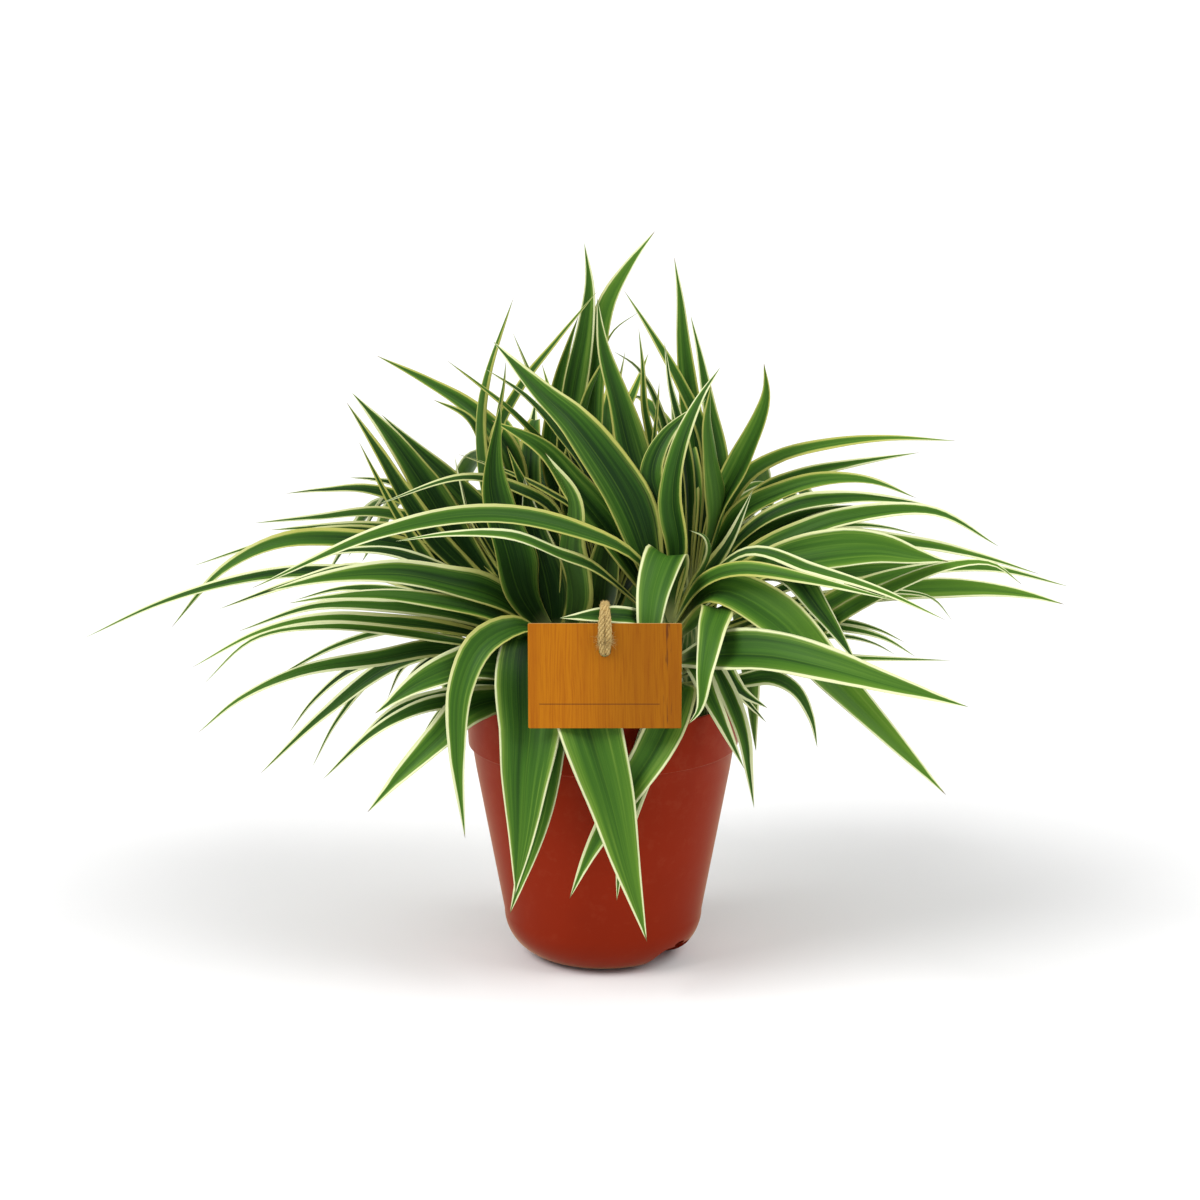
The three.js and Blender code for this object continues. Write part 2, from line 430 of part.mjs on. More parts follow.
// A closed blade from the share `from` of its length to its tip, grown on every side by `grow`.
// Its rings are left edge, upper midrib, right edge and lower midrib.
function blade(leaf, grow = 0, from = 0) {
  const positions = [];
  const rings = BLADE.rings(leaf.width);
  const stations = Array.from({ length: rings }, (_, i) => Math.max(i / rings, from));
  while (stations[1] === from) stations.shift();
  for (const t of stations) {
    const { across, up } = directionsAt(leaf, t);
    const centre = leaf.spine.at(t);
    const out = widthAt(t, leaf) / 2 + grow;
    const lift = out * Math.tan(BLADE.fold);
    const thick = (BLADE.thick * (1 - BLADE.thinning * t)) / 2 + grow;
    for (const [a, u] of [[-out, lift], [0, thick], [out, lift], [0, -thick]])
      positions.push(...centre.clone().addScaledVector(across, a).addScaledVector(up, u));
  }
  positions.push(...leaf.spine.at(1).addScaledVector(leaf.spine.along(1), grow));
  const tip = stations.length * 4;
  const faces = [0, 3, 1, 1, 3, 2];
  for (let i = 0; i < tip - 4; i += 4) {
    // each half is cut along the same diagonal on its upper and lower side
    faces.push(i, i + 1, i + 5, i, i + 5, i + 4);
    faces.push(i + 1, i + 2, i + 5, i + 2, i + 6, i + 5);
    faces.push(i + 2, i + 3, i + 7, i + 2, i + 7, i + 6);
    faces.push(i + 3, i, i + 7, i, i + 4, i + 7);
  }
  for (let side = 0; side < 4; side++) faces.push(tip - 4 + side, tip - 4 + ((side + 1) % 4), tip);
  const geometry = new THREE.BufferGeometry();
  geometry.setAttribute("position", new THREE.Float32BufferAttribute(positions, 3));
  geometry.setIndex(faces);
  return solidOf(geometry);
}

function leafThrough(crown, width, widest, points, turn) {
  const heading = points.at(-1).clone().sub(points[0]).setZ(0).normalize();
  return { crown, width, widest, turn, spine: spineThrough(points), side: heading.cross(new THREE.Vector3(0, 0, 1)) };
}

function tracedLeaf([crown, width, widest, ...marks], nudge) {
  const shift = (i) => nudge * DEPTH_STEP * ((i + 1) / marks.length);
  const points = marks.map(([across, up, depth], i) => seen([across, up, depth + shift(i)]));
  // a leaf that starts out low leaves its stem low
  const low = SOIL.top + 8 + 0.5 * (points[0].z - SOIL.top);
  const foot = footOf(CROWNS[crown], points[0], Math.max(Math.min(low, CROWNS[crown].top - 5), SOIL.top + 6));
  return leafThrough(crown, width, widest, [foot, ...points], BLADE.turn);
}

// A repeatable draw between 0 and 1.
let drawn = SEED;
function draw([low, high]) {
  drawn = (drawn * 16807) % 2147483647;
  return low + ((high - low) * drawn) / 2147483647;
}

function hiddenLeaves() {
  return HIDDEN.flatMap(([crown, kind, count, first, last]) =>
    Array.from({ length: count }, (_, i) => {
      const slot = (last - first) / count;
      return {
        crown,
        width: draw(KINDS[kind].width),
        reach: draw(KINDS[kind].reach),
        peak: draw(KINDS[kind].peak),
        tip: draw(KINDS[kind].tip),
        foot: draw(KINDS[kind].foot),
        turn: draw([-22, 22]),
        heading: first + slot * (i + draw([0.2, 0.8])),
      };
    }),
  );
}

function hiddenLeaf({ crown, width, reach, peak, tip, foot, turn, heading }, nudge) {
  const angle = THREE.MathUtils.degToRad(heading + nudge * HEADING_STEP);
  const { x, y, top } = CROWNS[crown];
  const footZ = top - foot;
  const out = (share, up) =>
    new THREE.Vector3(x + Math.cos(angle) * reach * share, y + Math.sin(angle) * reach * share, footZ + up);
  const points = [out(0.28, peak * 0.8), out(0.68, peak * 0.94 + tip * 0.06), out(1, tip)];
  return leafThrough(crown, width, BLADE.widest, [footOf(CROWNS[crown], points[2], footZ), ...points], turn);
}

// ---------- placing the leaves clear of each other ----------
function boxesMeet(a, b) {
  return [0, 1, 2].every((axis) => a.min[axis] <= b.max[axis] && b.min[axis] <= a.max[axis]);
}

function body(solid) {
  return { solid, box: solid.boundingBox() };
}

function meets(a, others) {
  return others.some((other) => boxesMeet(a.box, other.box) && !a.solid.intersect(other.solid).isEmpty());
}

const potSolid = pot();
const soilSolid = soil();
const cardGeometry = card();
const tieGeometry = tie();
const fixed = [potSolid, soilSolid, solidOf(cardGeometry), solidOf(tieGeometry)].map(body);
const growing = Object.fromEntries(
  Object.entries(CROWNS).map(([name, crown]) => [name, { stem: body(stem(crown)), whole: [], outer: [] }]),
);

// Takes the first nudge at which the leaf is clear of everything, or else of all but its own crown.
function grow(makeLeaf, name) {
  let second = null;
  for (const nudge of NUDGES) {
    const leaf = makeLeaf(nudge);
    const room = body(blade(leaf, CLEAR));
    const strangers = Object.entries(growing)
      .filter(([crown]) => crown !== leaf.crown)
      .flatMap(([, { stem: foot, whole }]) => [foot, ...whole]);
    if (meets(room, [...fixed, ...strangers])) continue;
    second ??= leaf;
    if (meets(body(blade(leaf, CLEAR, OWN_FROM)), growing[leaf.crown].outer)) continue;
    return keep(leaf);
  }
  if (!second) throw new Error(`no room for the ${name} leaf`);
  keep(second);
}

function keep(leaf) {
  growing[leaf.crown].whole.push(body(blade(leaf)));
  growing[leaf.crown].outer.push(body(blade(leaf, 0, OWN_FROM)));
}

keep({ ...tracedLeaf(CARRIER, 0), turn: 90 });
TRACED.forEach((row, i) => grow((nudge) => tracedLeaf(row, nudge), `traced ${i}`));
hiddenLeaves().forEach((row, i) => grow((nudge) => hiddenLeaf(row, nudge), `hidden ${i}`));

// ---------- the plant ----------
const plant = new THREE.Group();

function add(name, geometry, material) {
  const mesh = new THREE.Mesh(geometry, MATERIALS[material]);
  mesh.name = name;
  plant.add(mesh);
}

add("pot", geometryOf(potSolid), "pot");
add("potting_soil", geometryOf(soilSolid), "soil");
for (const [name, { stem: foot, whole }] of Object.entries(growing)) {
  const fused = wasm.Manifold.union([foot.solid, ...whole.map(({ solid }) => solid)]).simplify(SMOOTHED);
  // the largest piece alone, so that a hollow between crossing feet is filled
  const [outside] = fused.decompose().sort((a, b) => b.volume() - a.volume());
  add(`crown_${name}`, geometryOf(outside), "leaf");
}
add("card_tag", cardGeometry, "card");
add("twine_loop", tieGeometry, "twine");

export default plant;
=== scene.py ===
"""A potted spider plant: striped leaves in five crowns, nursery pot, soil, card tag and twine."""

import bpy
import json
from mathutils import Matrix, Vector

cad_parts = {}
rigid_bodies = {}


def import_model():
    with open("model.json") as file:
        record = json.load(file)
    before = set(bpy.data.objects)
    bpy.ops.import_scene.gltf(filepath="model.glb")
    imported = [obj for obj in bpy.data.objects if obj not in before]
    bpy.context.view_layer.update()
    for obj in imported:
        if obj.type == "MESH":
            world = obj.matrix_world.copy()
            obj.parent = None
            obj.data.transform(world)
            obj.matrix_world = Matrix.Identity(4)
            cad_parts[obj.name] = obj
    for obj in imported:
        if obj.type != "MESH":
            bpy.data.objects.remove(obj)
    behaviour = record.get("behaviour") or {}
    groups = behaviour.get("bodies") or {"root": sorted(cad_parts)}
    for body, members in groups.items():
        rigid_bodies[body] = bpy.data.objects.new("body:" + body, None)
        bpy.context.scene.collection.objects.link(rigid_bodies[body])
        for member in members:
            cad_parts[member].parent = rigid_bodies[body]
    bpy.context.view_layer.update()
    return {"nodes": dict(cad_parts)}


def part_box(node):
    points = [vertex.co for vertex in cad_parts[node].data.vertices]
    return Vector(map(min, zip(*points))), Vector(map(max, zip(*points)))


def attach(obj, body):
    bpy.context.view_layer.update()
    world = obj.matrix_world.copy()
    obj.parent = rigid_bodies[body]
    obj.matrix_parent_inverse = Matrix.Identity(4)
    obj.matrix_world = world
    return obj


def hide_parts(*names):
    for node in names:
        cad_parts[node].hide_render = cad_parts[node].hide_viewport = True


bl_info = {
    "name": "Potted Spider Plant",
    "version": (1, 0, 0),
    "blender": (4, 5, 0),
    "location": "3D Viewport > Sidebar > Spider Plant",
    "description": "Builds the leaves, pot, soil, card tag and twine of a potted spider plant",
    "category": "Object",
}

import json
import math
import random

import bmesh
import bpy
import numpy as np
from mathutils import Vector, kdtree, noise

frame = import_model()

MM = 0.001
ROOT = "root"

# ---------- places taken from the frame, in metres ----------
_, POT_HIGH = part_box("pot")
_, SOIL_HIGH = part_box("potting_soil")
CARD_LOW, CARD_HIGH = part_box("card_tag")
TWINE_LOW, TWINE_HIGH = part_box("twine_loop")

# ---------- the forms of pot, soil, card and twine, in metres ----------
BAND_R = 0.059  # outside of the rim band at its lower edge
BAND_HEIGHT = 0.0223
SHOULDER_R = 0.0574  # wall just under the band
SHOULDER = ((-0.0002, -0.0012), (0.0002, -0.0003))  # how the wall turns out, from its meeting with the band
WALL_END = 0.0014  # how far under the band the straight wall ends
FOOT_R = 0.0437  # wall where the bottom corner starts
CORNER_R = 0.0202
WALL = 0.0015
WALL_STEPS, CORNER_STEPS, CORNER_STEPS_INSIDE, SOIL_STEPS = 8, 22, 14, 6
SHARP = 40  # degrees from which the pot's edges are sharp
RECESS = {"turn": 55, "width": 0.025, "height": 0.010, "corner": 0.005, "depth": 0.022, "count": 2}
SLOT = {"turn": 54, "width": 0.007, "height": 0.0022, "up": 0.0108}

SOIL_GAP = 0.0003  # between the soil and the pot
SOIL_FALL = 0.0015  # from the middle to the edge
SOIL_LUMPS = {"height": 0.0016, "crowding": 110, "edge": 0.0005, "deep": 0.002}
CRUMBS = {"edge": 0.0025, "deep": 0.004}  # how near the edge and how deep crumbs may lie

CARD = {"hole_r": 0.0024, "hole_drop": 0.0116, "corner": 0.0006, "bevel": 0.00012}

TWINE = {"strand": 0.0018, "corner": 0.001, "sag": 0.0008, "apart": 0.0014, "lay": 1.7, "steps": 220}
FRAY = {"much": 1.6, "little": 0.35, "height": 0.27, "reach": 0.1, "depth": 0.003}
FIBRE = {"r": 0.00008, "crowding": 2.6e6, "tilt": 1.1, "shortest": 0.25}

# ---------- the leaves, in millimetres as they were traced ----------
SOIL_TOP = 106
STEM = {
    "foot_r": 9, "top_r": 4.5,
    "sunk": 8, "collar": 2,  # how far under and over the soil's top it is as wide as at its foot
    "sunk_foot": 0.55,  # how far from its middle a leaf's foot is, as a share of its radius
    "sides": 60, "steps": 6, "ribs": 7, "wind": 30,
}
CROWNS = {  # x, y and the height of the stem's top
    "front_right": (27, -16, 166),
    "front_left": (-18, -20, 152),
    "back_left": (-34, 14, 160),
    "back_middle": (0, 28, 166),
    "back_right": (38, 12, 164),
}
FOOT = {"above_soil": 6, "below_top": 5, "start": 8, "share": 0.5}  # where a traced leaf may leave its stem
EYE = np.array((-1.4, -1300.0, 452.0))  # the eye that the traced leaves are seen from
EYE_DOWN = 12.7  # degrees that it looks down
EYE_LENS, EYE_SENSOR = 92.13, 36  # as a camera's
BLADE = {
    "thick": 1.3, "thinning": 0.5,  # at the midrib, and how much of it is lost by the tip
    "foot_share": 0.3, "widest": 0.4, "taper": 1.35,
    "fold": 22, "turn": 52,  # degrees
}
TIP_THINS = 12  # a blade thins to nothing over the last one in this many parts
TIP_CROWDS = 1.15  # the more this is above 1, the closer its rings are towards the tip
FOLD_CURVE = 1.25  # how far the fold is rounded at the midrib
WAVES = {"along": 19, "between": 60, "across": 1.3}  # how the ripples run along, between leaves and across

# Crown, then for each leaf its width where widest, the share of the length where that is, and the
# points along its midrib. A point is (across, up, depth): across and up as seen from the eye in
# the upright plane through the pot's axis, and depth as the point's own Y.
TRACED = {
    "front_right": [
        # the long front leaves over the pot
        (17, 0.4, (33, 118, -58), (24, 95, -68), (10, 72, -71), (-6, 44, -74), (-15, 23, -75)),
        (13, 0.4, (27, 112, -50), (16, 80, -62), (9, 52, -65), (6, 22, -66)),
        (17, 0.45, (30, 172, -27), (27, 178, -38), (22, 164, -50), (20, 148, -57), (19, 114, -60)),
        (15, 0.4, (50, 155, -48), (47.5, 145, -64), (44.5, 128, -76), (42, 110, -80), (37, 103, -80)),
        # the leaves that stand up in front
        (23, 0.4, (17, 182, -24), (8, 205, -24), (-13, 236, -24), (-27, 250, -20), (-47, 272, -12)),
        (13, 0.4, (33, 182, -28), (30, 204, -28), (33, 225, -26), (41, 246, -22), (50, 261, -18)),
        (13, 0.4, (26, 196, -20), (21, 215, -18), (27, 231, -14), (44, 247, -8)),
        (7, 0.4, (54, 184, -12), (60, 197, -10), (64.5, 208, -8)),
        (7, 0.4, (46, 180, -24), (44, 187, -26), (37, 190, -28)),
        (18, 0.45, (4, 186, -26), (-13, 208, -24), (-26, 225, -22), (-48, 238, -20)),
        # the sweeps to the left
        (10, 0.45, (15, 176, -34), (-12, 189.5, -50), (-50, 196.5, -62), (-95, 189, -72), (-153, 164, -80)),
        (8, 0.45, (-4, 172.5, -40), (-19, 178.5, -50), (-40, 187, -62), (-66, 188, -70), (-90, 185, -76)),
        # the sweeps to the right
        (19, 0.65, (62, 170, -26), (92, 179, -32), (118, 181, -34), (136, 178, -34), (149.5, 176, -34)),
        (9, 0.35, (44, 166.5, -42), (60, 172, -54), (88, 168, -66), (128, 158.5, -72)),
        (6, 0.5, (62, 180, -28), (90, 172.5, -38), (120, 163, -48), (149, 150, -54)),
        (16, 0.45, (58, 170, -26), (78, 172, -34), (94, 154, -44), (111, 130, -48)),
        (20, 0.4, (50, 163, -44), (74, 152, -58), (100, 124, -72), (124, 99, -80), (151, 71, -84)),
        (22, 0.4, (46, 134, -54), (72, 134, -72), (98, 128.5, -84), (126, 120.5, -92), (160, 111, -98)),
        (8, 0.5, (80, 138, -24), (112, 157.5, -30), (148, 173.5, -34), (168, 175, -34), (182, 165.5, -34)),
        (4, 0.5, (88, 134, -28), (112, 133, -30), (130, 132.5, -30), (152, 132, -30)),
        (5, 0.5, (82, 150, -8), (106, 149, -10), (120, 145.5, -10), (131.5, 140, -10)),
        (6, 0.5, (80, 147, -14), (106, 146, -16), (122, 142, -16), (136.5, 133.5, -16)),
        # the short ones round the rim on the right
        (10, 0.4, (40, 130, -46), (46.5, 116, -54), (54, 100, -58), (62, 83, -58)),
        (8, 0.5, (46, 132, -38), (55, 116, -46), (61.5, 98, -50), (64, 82, -50), (66.5, 65, -50)),
        (9, 0.5, (48, 132, -32), (60, 118, -36), (72, 110.5, -36)),
        (5, 0.5, (50, 128, -26), (62, 114, -30), (71.5, 104, -30)),
        (8, 0.5, (58, 122, -26), (73, 124, -28), (83.5, 118.5, -30), (90.5, 106.5, -30), (94, 92.5, -30)),
    ],
    "front_left": [
        # the long front leaves over the pot
        (28, 0.35, (-14, 138, -52), (-6, 102, -74), (3, 70, -80), (10, 40, -84), (19.5, 3, -88)),
        (29, 0.38, (-31, 140, -46), (-32, 100, -68), (-34, 80, -74), (-36, 52, -78), (-39, 25, -80)),
        (18, 0.4, (-24, 132, -44), (-25, 100, -62), (-29, 62, -67), (-37, 31, -70), (-41.5, 16, -70)),
        (13, 0.4, (-36, 147, -50), (-53, 139, -58), (-62, 120, -64), (-64, 90, -68), (-61, 51, -70)),
        # the leaves that stand up in front
        (25, 0.4, (-36, 160, -30), (-42, 180, -34), (-49, 212, -30), (-44, 246, -26)),
        (21, 0.4, (-13, 160, -34), (-16, 180, -36), (-14, 203, -34), (-25, 224, -28)),
        (11, 0.4, (-22, 180, -8), (-30, 200, -12), (-36, 213, -14), (-41.5, 227, -12)),
        # the sweeps to the left
        (6, 0.45, (-20, 196, -18), (-38, 208.5, -24), (-60, 213, -28), (-98, 201, -32)),
        (16, 0.35, (-46, 160, -36), (-66, 166, -44), (-90, 170.5, -54), (-118, 169, -60), (-146, 163, -62)),
        (9, 0.4, (-48, 152, -44), (-70, 157.5, -56), (-98, 161, -68), (-120, 160, -76), (-137, 157.5, -80)),
        (8, 0.4, (-64, 152, -34), (-95, 156, -42), (-125, 156, -46), (-159, 145, -50)),
        (7, 0.4, (-62, 145, -40), (-95, 149.5, -52), (-125, 150.5, -62), (-150, 144.5, -70),
         (-180, 128.5, -76)),
        (5, 0.4, (-64, 140.5, -44), (-120, 147, -54), (-152, 141.5, -56), (-175, 121, -58)),
        (9, 0.35, (-70, 137, -30), (-98, 132.5, -36), (-131, 127, -42), (-158, 115, -44), (-178, 99, -44)),
        (5, 0.4, (-66, 149, -26), (-88, 146.5, -34), (-116, 138.5, -38), (-150, 120, -40)),
        (21, 0.35, (-44, 130, -46), (-62, 129, -58), (-80, 122, -66), (-100, 108, -72)),
        (7, 0.4, (-70, 116, -40), (-92, 109, -50), (-114, 88, -56)),
        (8, 0.4, (-60, 114, -46), (-80, 110.5, -56), (-100, 100, -62), (-123.5, 78, -66)),
        (16, 0.4, (-58, 110, -50), (-72, 97, -58), (-88, 81, -62), (-104, 63, -64)),
        (6, 0.4, (-60, 119, -34), (-71, 109, -38), (-80, 97, -38)),
        (7, 0.4, (-60, 137, -20), (-78, 130.5, -24), (-90, 118, -26)),
        # the inner ones between the crowns
        (19, 0.35, (-24, 162, -16), (-28, 180, -14), (-32, 198, -10), (-34, 213, -6)),
        (7, 0.4, (-60, 152, -28), (-88, 162, -32), (-112, 164, -34), (-134, 159, -34)),
    ],
    "back_left": [
        # the sweeps to the left
        (7, 0.4, (-80, 166, 4), (-120, 171.5, 2), (-152, 169, 0), (-190, 158.5, 0), (-226, 142, 0)),
        (8, 0.4, (-78, 164, -6), (-108, 172, -10), (-135, 166, -12), (-167, 155, -12)),
        (9, 0.5, (-80, 181, 8), (-112, 186, 6), (-140, 184.5, 4), (-165, 172, 4), (-188, 146.5, 4)),
        (5, 0.5, (-85, 186, 20), (-120, 189.5, 18), (-148, 183.5, 18), (-178, 174, 18)),
        (9, 0.4, (-72, 185, 28), (-100, 190.5, 28), (-124, 191, 28), (-144, 190, 28)),
        (7, 0.4, (-72, 190, 34), (-96, 197.5, 36), (-124, 195.5, 36), (-151, 193, 36)),
        (7, 0.5, (-72, 196, 40), (-100, 207.5, 42), (-120, 207.5, 44), (-137, 206, 44)),
        (8, 0.4, (-66, 193, 24), (-84, 208, 20), (-98, 212, 18), (-109.5, 213, 18)),
        (17, 0.45, (-60, 180, 18), (-80, 213, 20), (-92, 231, 20), (-107.5, 250, 20)),
        (12, 0.4, (-70, 182, 10), (-86, 205, 8), (-96, 223, 8), (-110, 246, 8)),
        (13, 0.4, (-50, 192, 26), (-66, 211, 28), (-80, 225, 30), (-95, 240.5, 30)),
        (8, 0.35, (-66, 162, 2), (-79, 180, 2), (-90, 198, 2), (-99, 216, 2), (-105, 229, 2)),
        (11, 0.45, (-40, 222, 22), (-56, 242, 26), (-76, 255, 28), (-97, 266, 28)),
        (9, 0.5, (-42, 200, 10), (-50, 224, 12), (-58, 239, 12), (-73, 247, 12)),
        (7, 0.4, (-50, 205, 4), (-53, 235, 4), (-50, 256, 4), (-38, 291, 6)),
        (6, 0.4, (-47, 215, 0), (-45, 240, 0), (-42.5, 254, 0), (-41.5, 264, 0)),
        (6, 0.4, (-47, 225, 16), (-36, 251, 18), (-20, 272, 20), (-2, 294, 24)),
        (5, 0.4, (-58, 196, -6), (-61.5, 210, -8), (-64, 223, -8)),
        (9, 0.35, (-66, 138, -14), (-92, 130, -16), (-123, 107, -14), (-151, 80.5, -12)),
        (6, 0.4, (-80, 134, -4), (-108, 128.5, -6), (-126, 114.5, -6), (-138, 99, -6)),
        (5, 0.4, (-76, 134, -2), (-97, 127, -4), (-116, 105.5, -4), (-128, 83.5, -4)),
        (5, 0.4, (-70, 136, 8), (-86, 130, 10), (-94.5, 114.5, 10)),
        (5, 0.4, (-70, 148, 20), (-92, 150, 22), (-111.5, 147, 22)),
        # the inner ones between the crowns
        (7, 0.4, (-70, 172, 2), (-92, 180, 2), (-112, 180.5, 0), (-130, 176, 0)),
    ],
    "back_middle": [
        # the tall leaves at the back
        (13, 0.6, (-3, 215, 30), (-3, 255, 34), (2, 287, 34), (11, 304, 32), (22, 319, 30)),
        (11, 0.6, (-16, 215, 28), (-13, 248, 32), (-7.7, 278, 34), (-6, 296, 34), (-8, 314, 34)),
        (9, 0.5, (-22, 215, 38), (-20, 250, 40), (-15, 270, 40), (-10.5, 283, 40)),
        (12, 0.5, (-14, 205, 14), (-10, 230, 16), (-6, 249, 18), (1.4, 267, 20)),
        (6, 0.5, (22, 215, 28), (18, 245, 28), (17, 262, 28), (15, 278, 28)),
        (6, 0.5, (20, 212, 20), (23, 238, 18), (24, 255, 18)),
        (5, 0.5, (6, 215, 26), (6, 246, 26), (9.5, 268.5, 26)),
        (7, 0.4, (-16, 212, 6), (-36, 238, 0), (-52, 252, -2), (-67, 264, -4)),
        (8, 0.5, (-14, 222, 12), (-29, 252, 10), (-38.7, 276, 10)),
        (9, 0.5, (-8, 214, 4), (-21, 233.5, -2), (-34, 248.5, -4), (-50, 260, -6)),
        (5, 0.4, (-10, 196, 6), (-24, 206.5, 0), (-42, 215.5, -4), (-63, 223.5, -6)),
        (3, 0.4, (-4, 240, 44), (3, 274.5, 46), (15.7, 285, 46)),
        # the inner ones between the crowns
        (16, 0.35, (-14, 158, 8), (-22, 178, 4), (-30, 200, 2), (-38, 218, 0)),
        (18, 0.35, (0, 160, 0), (2, 178, -6), (5, 198, -8), (8, 214, -8)),
    ],
    "back_right": [
        # the tall leaves at the back
        (21, 0.4, (24, 185, 8), (13, 215, 6), (5, 247, 6), (-1, 270, 8), (-2.7, 291, 8)),
        (5, 0.5, (26, 236, 38), (15, 260, 42), (4, 268, 42)),
        (7, 0.5, (44, 225, 18), (33, 253, 20), (20, 276, 22), (8.6, 294, 22)),
        (10, 0.5, (40, 215, 28), (37, 245, 30), (34, 272, 32), (32.5, 291, 32), (30, 308, 32)),
        (8, 0.5, (50, 215, 12), (45, 244, 14), (41, 266, 14), (37, 283.5, 14)),
        (12, 0.5, (50, 198, 0), (47, 222, -2), (45, 238, -3), (46, 253.5, -4)),
        (8, 0.5, (36, 212, 8), (32, 236, 8), (28, 254, 8), (26, 272, 8)),
        (15, 0.6, (50, 198, 4), (61, 221, 3), (68.5, 239, 2), (70.5, 250, 2), (68.5, 263, 2)),
        # the sweeps to the right
        (8, 0.35, (60, 211, 12), (75, 221.5, 12), (98, 227.5, 12), (122, 230, 12), (152, 229, 12)),
        (7, 0.5, (64, 203, 20), (84, 213.5, 20), (106, 218.7, 22), (136, 224, 22)),
        (10, 0.4, (58, 196, 4), (75, 206, 4), (95, 212, 2), (115, 211.5, 0), (135, 204, 0)),
        (8, 0.55, (62, 189, -2), (82, 200.5, -4), (106, 204, -4), (126, 203, -5), (143.5, 200, -6)),
        (11, 0.4, (56, 172, -12), (80, 186, -14), (104, 195, -16), (142, 198, -16), (171.5, 182.5, -16)),
        (8, 0.5, (62, 190, 12), (78, 195, 14), (95, 196, 14)),
        (5, 0.5, (84, 189, 30), (108, 192, 30), (122, 191, 30), (136, 188, 30)),
        (8, 0.5, (84, 185, 26), (134, 184, 28), (160, 179, 28), (189, 170.5, 28)),
        (8, 0.5, (90, 168, 18), (140, 173, 20), (168, 173, 20), (202, 165, 20)),
        (10, 0.65, (84, 155, 12), (130, 162.5, 12), (162, 163.5, 12), (184, 161, 12), (200.5, 157, 12)),
        (5, 0.4, (92, 160, 6), (128, 162.5, 8), (143, 159.5, 8), (152, 149.5, 8)),
        (9, 0.5, (84, 150, -10), (112, 165, -8), (134, 172.5, -4), (156, 177, 0)),
        (4, 0.5, (84, 142, -2), (106, 142.5, 0), (118, 139.5, 0), (127.5, 134.5, 0)),
        # the inner ones between the crowns
        (12, 0.4, (54, 176, -2), (68, 187, -4), (88, 197, -4), (108, 201, -4)),
    ],
}
CARRIER = ("front_right", 8.4, 0.72, (16, 150, -60), (1, 152, -72.5), (-19, 151, -74))
CARRIER_TURN = 90  # degrees, so that the leaf that carries the tag faces the front

# Leaves that a front view hides, each drawn at random between the limits of its kind.
SEED = 4711
MULTIPLIER, MODULUS = 16807, 2147483647  # of the draws of their measures
KINDS = {
    "upright": {"width": (8, 15), "reach": (40, 80), "peak": (62, 88), "tip": (70, 98), "foot": (4, 12)},
    "arching": {"width": (9, 20), "reach": (110, 165), "peak": (36, 62), "tip": (-18, 22), "foot": (12, 26)},
    "drooping": {"width": (9, 22), "reach": (78, 118), "peak": (20, 36), "tip": (-96, -42), "foot": (26, 40)},
}
HIDDEN = [  # crown, kind, how many, and the first and last heading in degrees round from +X
    ("back_middle", "arching", 9, 52, 128),
    ("back_left", "arching", 7, 86, 132),
    ("back_right", "arching", 7, 50, 92),
    ("back_middle", "drooping", 5, 66, 114),
    ("back_left", "drooping", 4, 78, 106),
    ("back_right", "drooping", 4, 84, 104),
    ("back_middle", "upright", 4, 56, 124),
    ("back_left", "upright", 3, 66, 106),
    ("back_right", "upright", 3, 84, 120),
]
HIDDEN_TURN = (-22, 22)  # degrees
HIDDEN_PLACE = (0.2, 0.8)  # within a leaf's own part of the headings
# Shares of the reach, of the peak and of the tip's height at the points of a hidden leaf
HIDDEN_BEND = ((0.28, 0.8, 0), (0.68, 0.94, 0.06), (1, 0, 1))
NUDGES = [0, *(sign * step for step in range(1, 9) for sign in (1, -1))]  # the places a leaf may stand at
DEPTH_STEP = 4  # millimetres that one nudge shifts a traced tip along its line of sight
HEADING_STEP = 3  # degrees that one nudge turns a hidden leaf
SAME_PLACE = 0.1  # how near a leaf's tip is to a corner of its crown's solid

# ---------- how the leaves' colouring varies ----------
EDGE_WIDTHS = (0.65, 1.35)  # as shares of the middling margin
EDGE_LEANS = (-0.45, 0.45)  # how much wider one side's margin is than the other's
YOUTHS = (-0.25, 0.25)  # what chance adds to a leaf's youth
YOUNG_FROM, YOUNG_OVER = 155, 100  # a leaf that peaks above the first is young, more so over the second
SHADE_HEART = np.array((-25.0, 15.0, 150.0))  # the middle of the plant, round which the leaves are painted darkest, as shade
SHADE_STRETCH = np.array((0.8, 1.2, 1.0))  # how soon the painted shade lifts along each axis
SHADE_DEEPEST_WITHIN, SHADE_GONE_FROM = 20, 165  # how far from the heart the painted shade is deepest, and from where it is gone

# ---------- the stage ----------
FLOOR_HALF = 60
CLIP_START = 0.05
LIGHT_ANGLE = 35  # degrees that each light spans, for soft shadows
LIGHTS = {"key": (-0.9, -0.55, 1.1), "fill": (0.9, -0.45, 1.1)}


# ---------- settings ----------
def colour(name, description, default):
    """A colour that the user can set."""
    return bpy.props.FloatVectorProperty(
        name=name, description=description, default=default, size=3, min=0, max=1, subtype="COLOR"
    )


def number(name, description, default, **more):
    """A number of 0 or more that the user can set."""
    return bpy.props.FloatProperty(name=name, description=description, default=default, min=0, **more)


def length(name, description, default):
    return number(name, description, default, unit="LENGTH")


def count(name, description, default, low=1):
    return bpy.props.IntProperty(name=name, description=description, default=default, min=low)


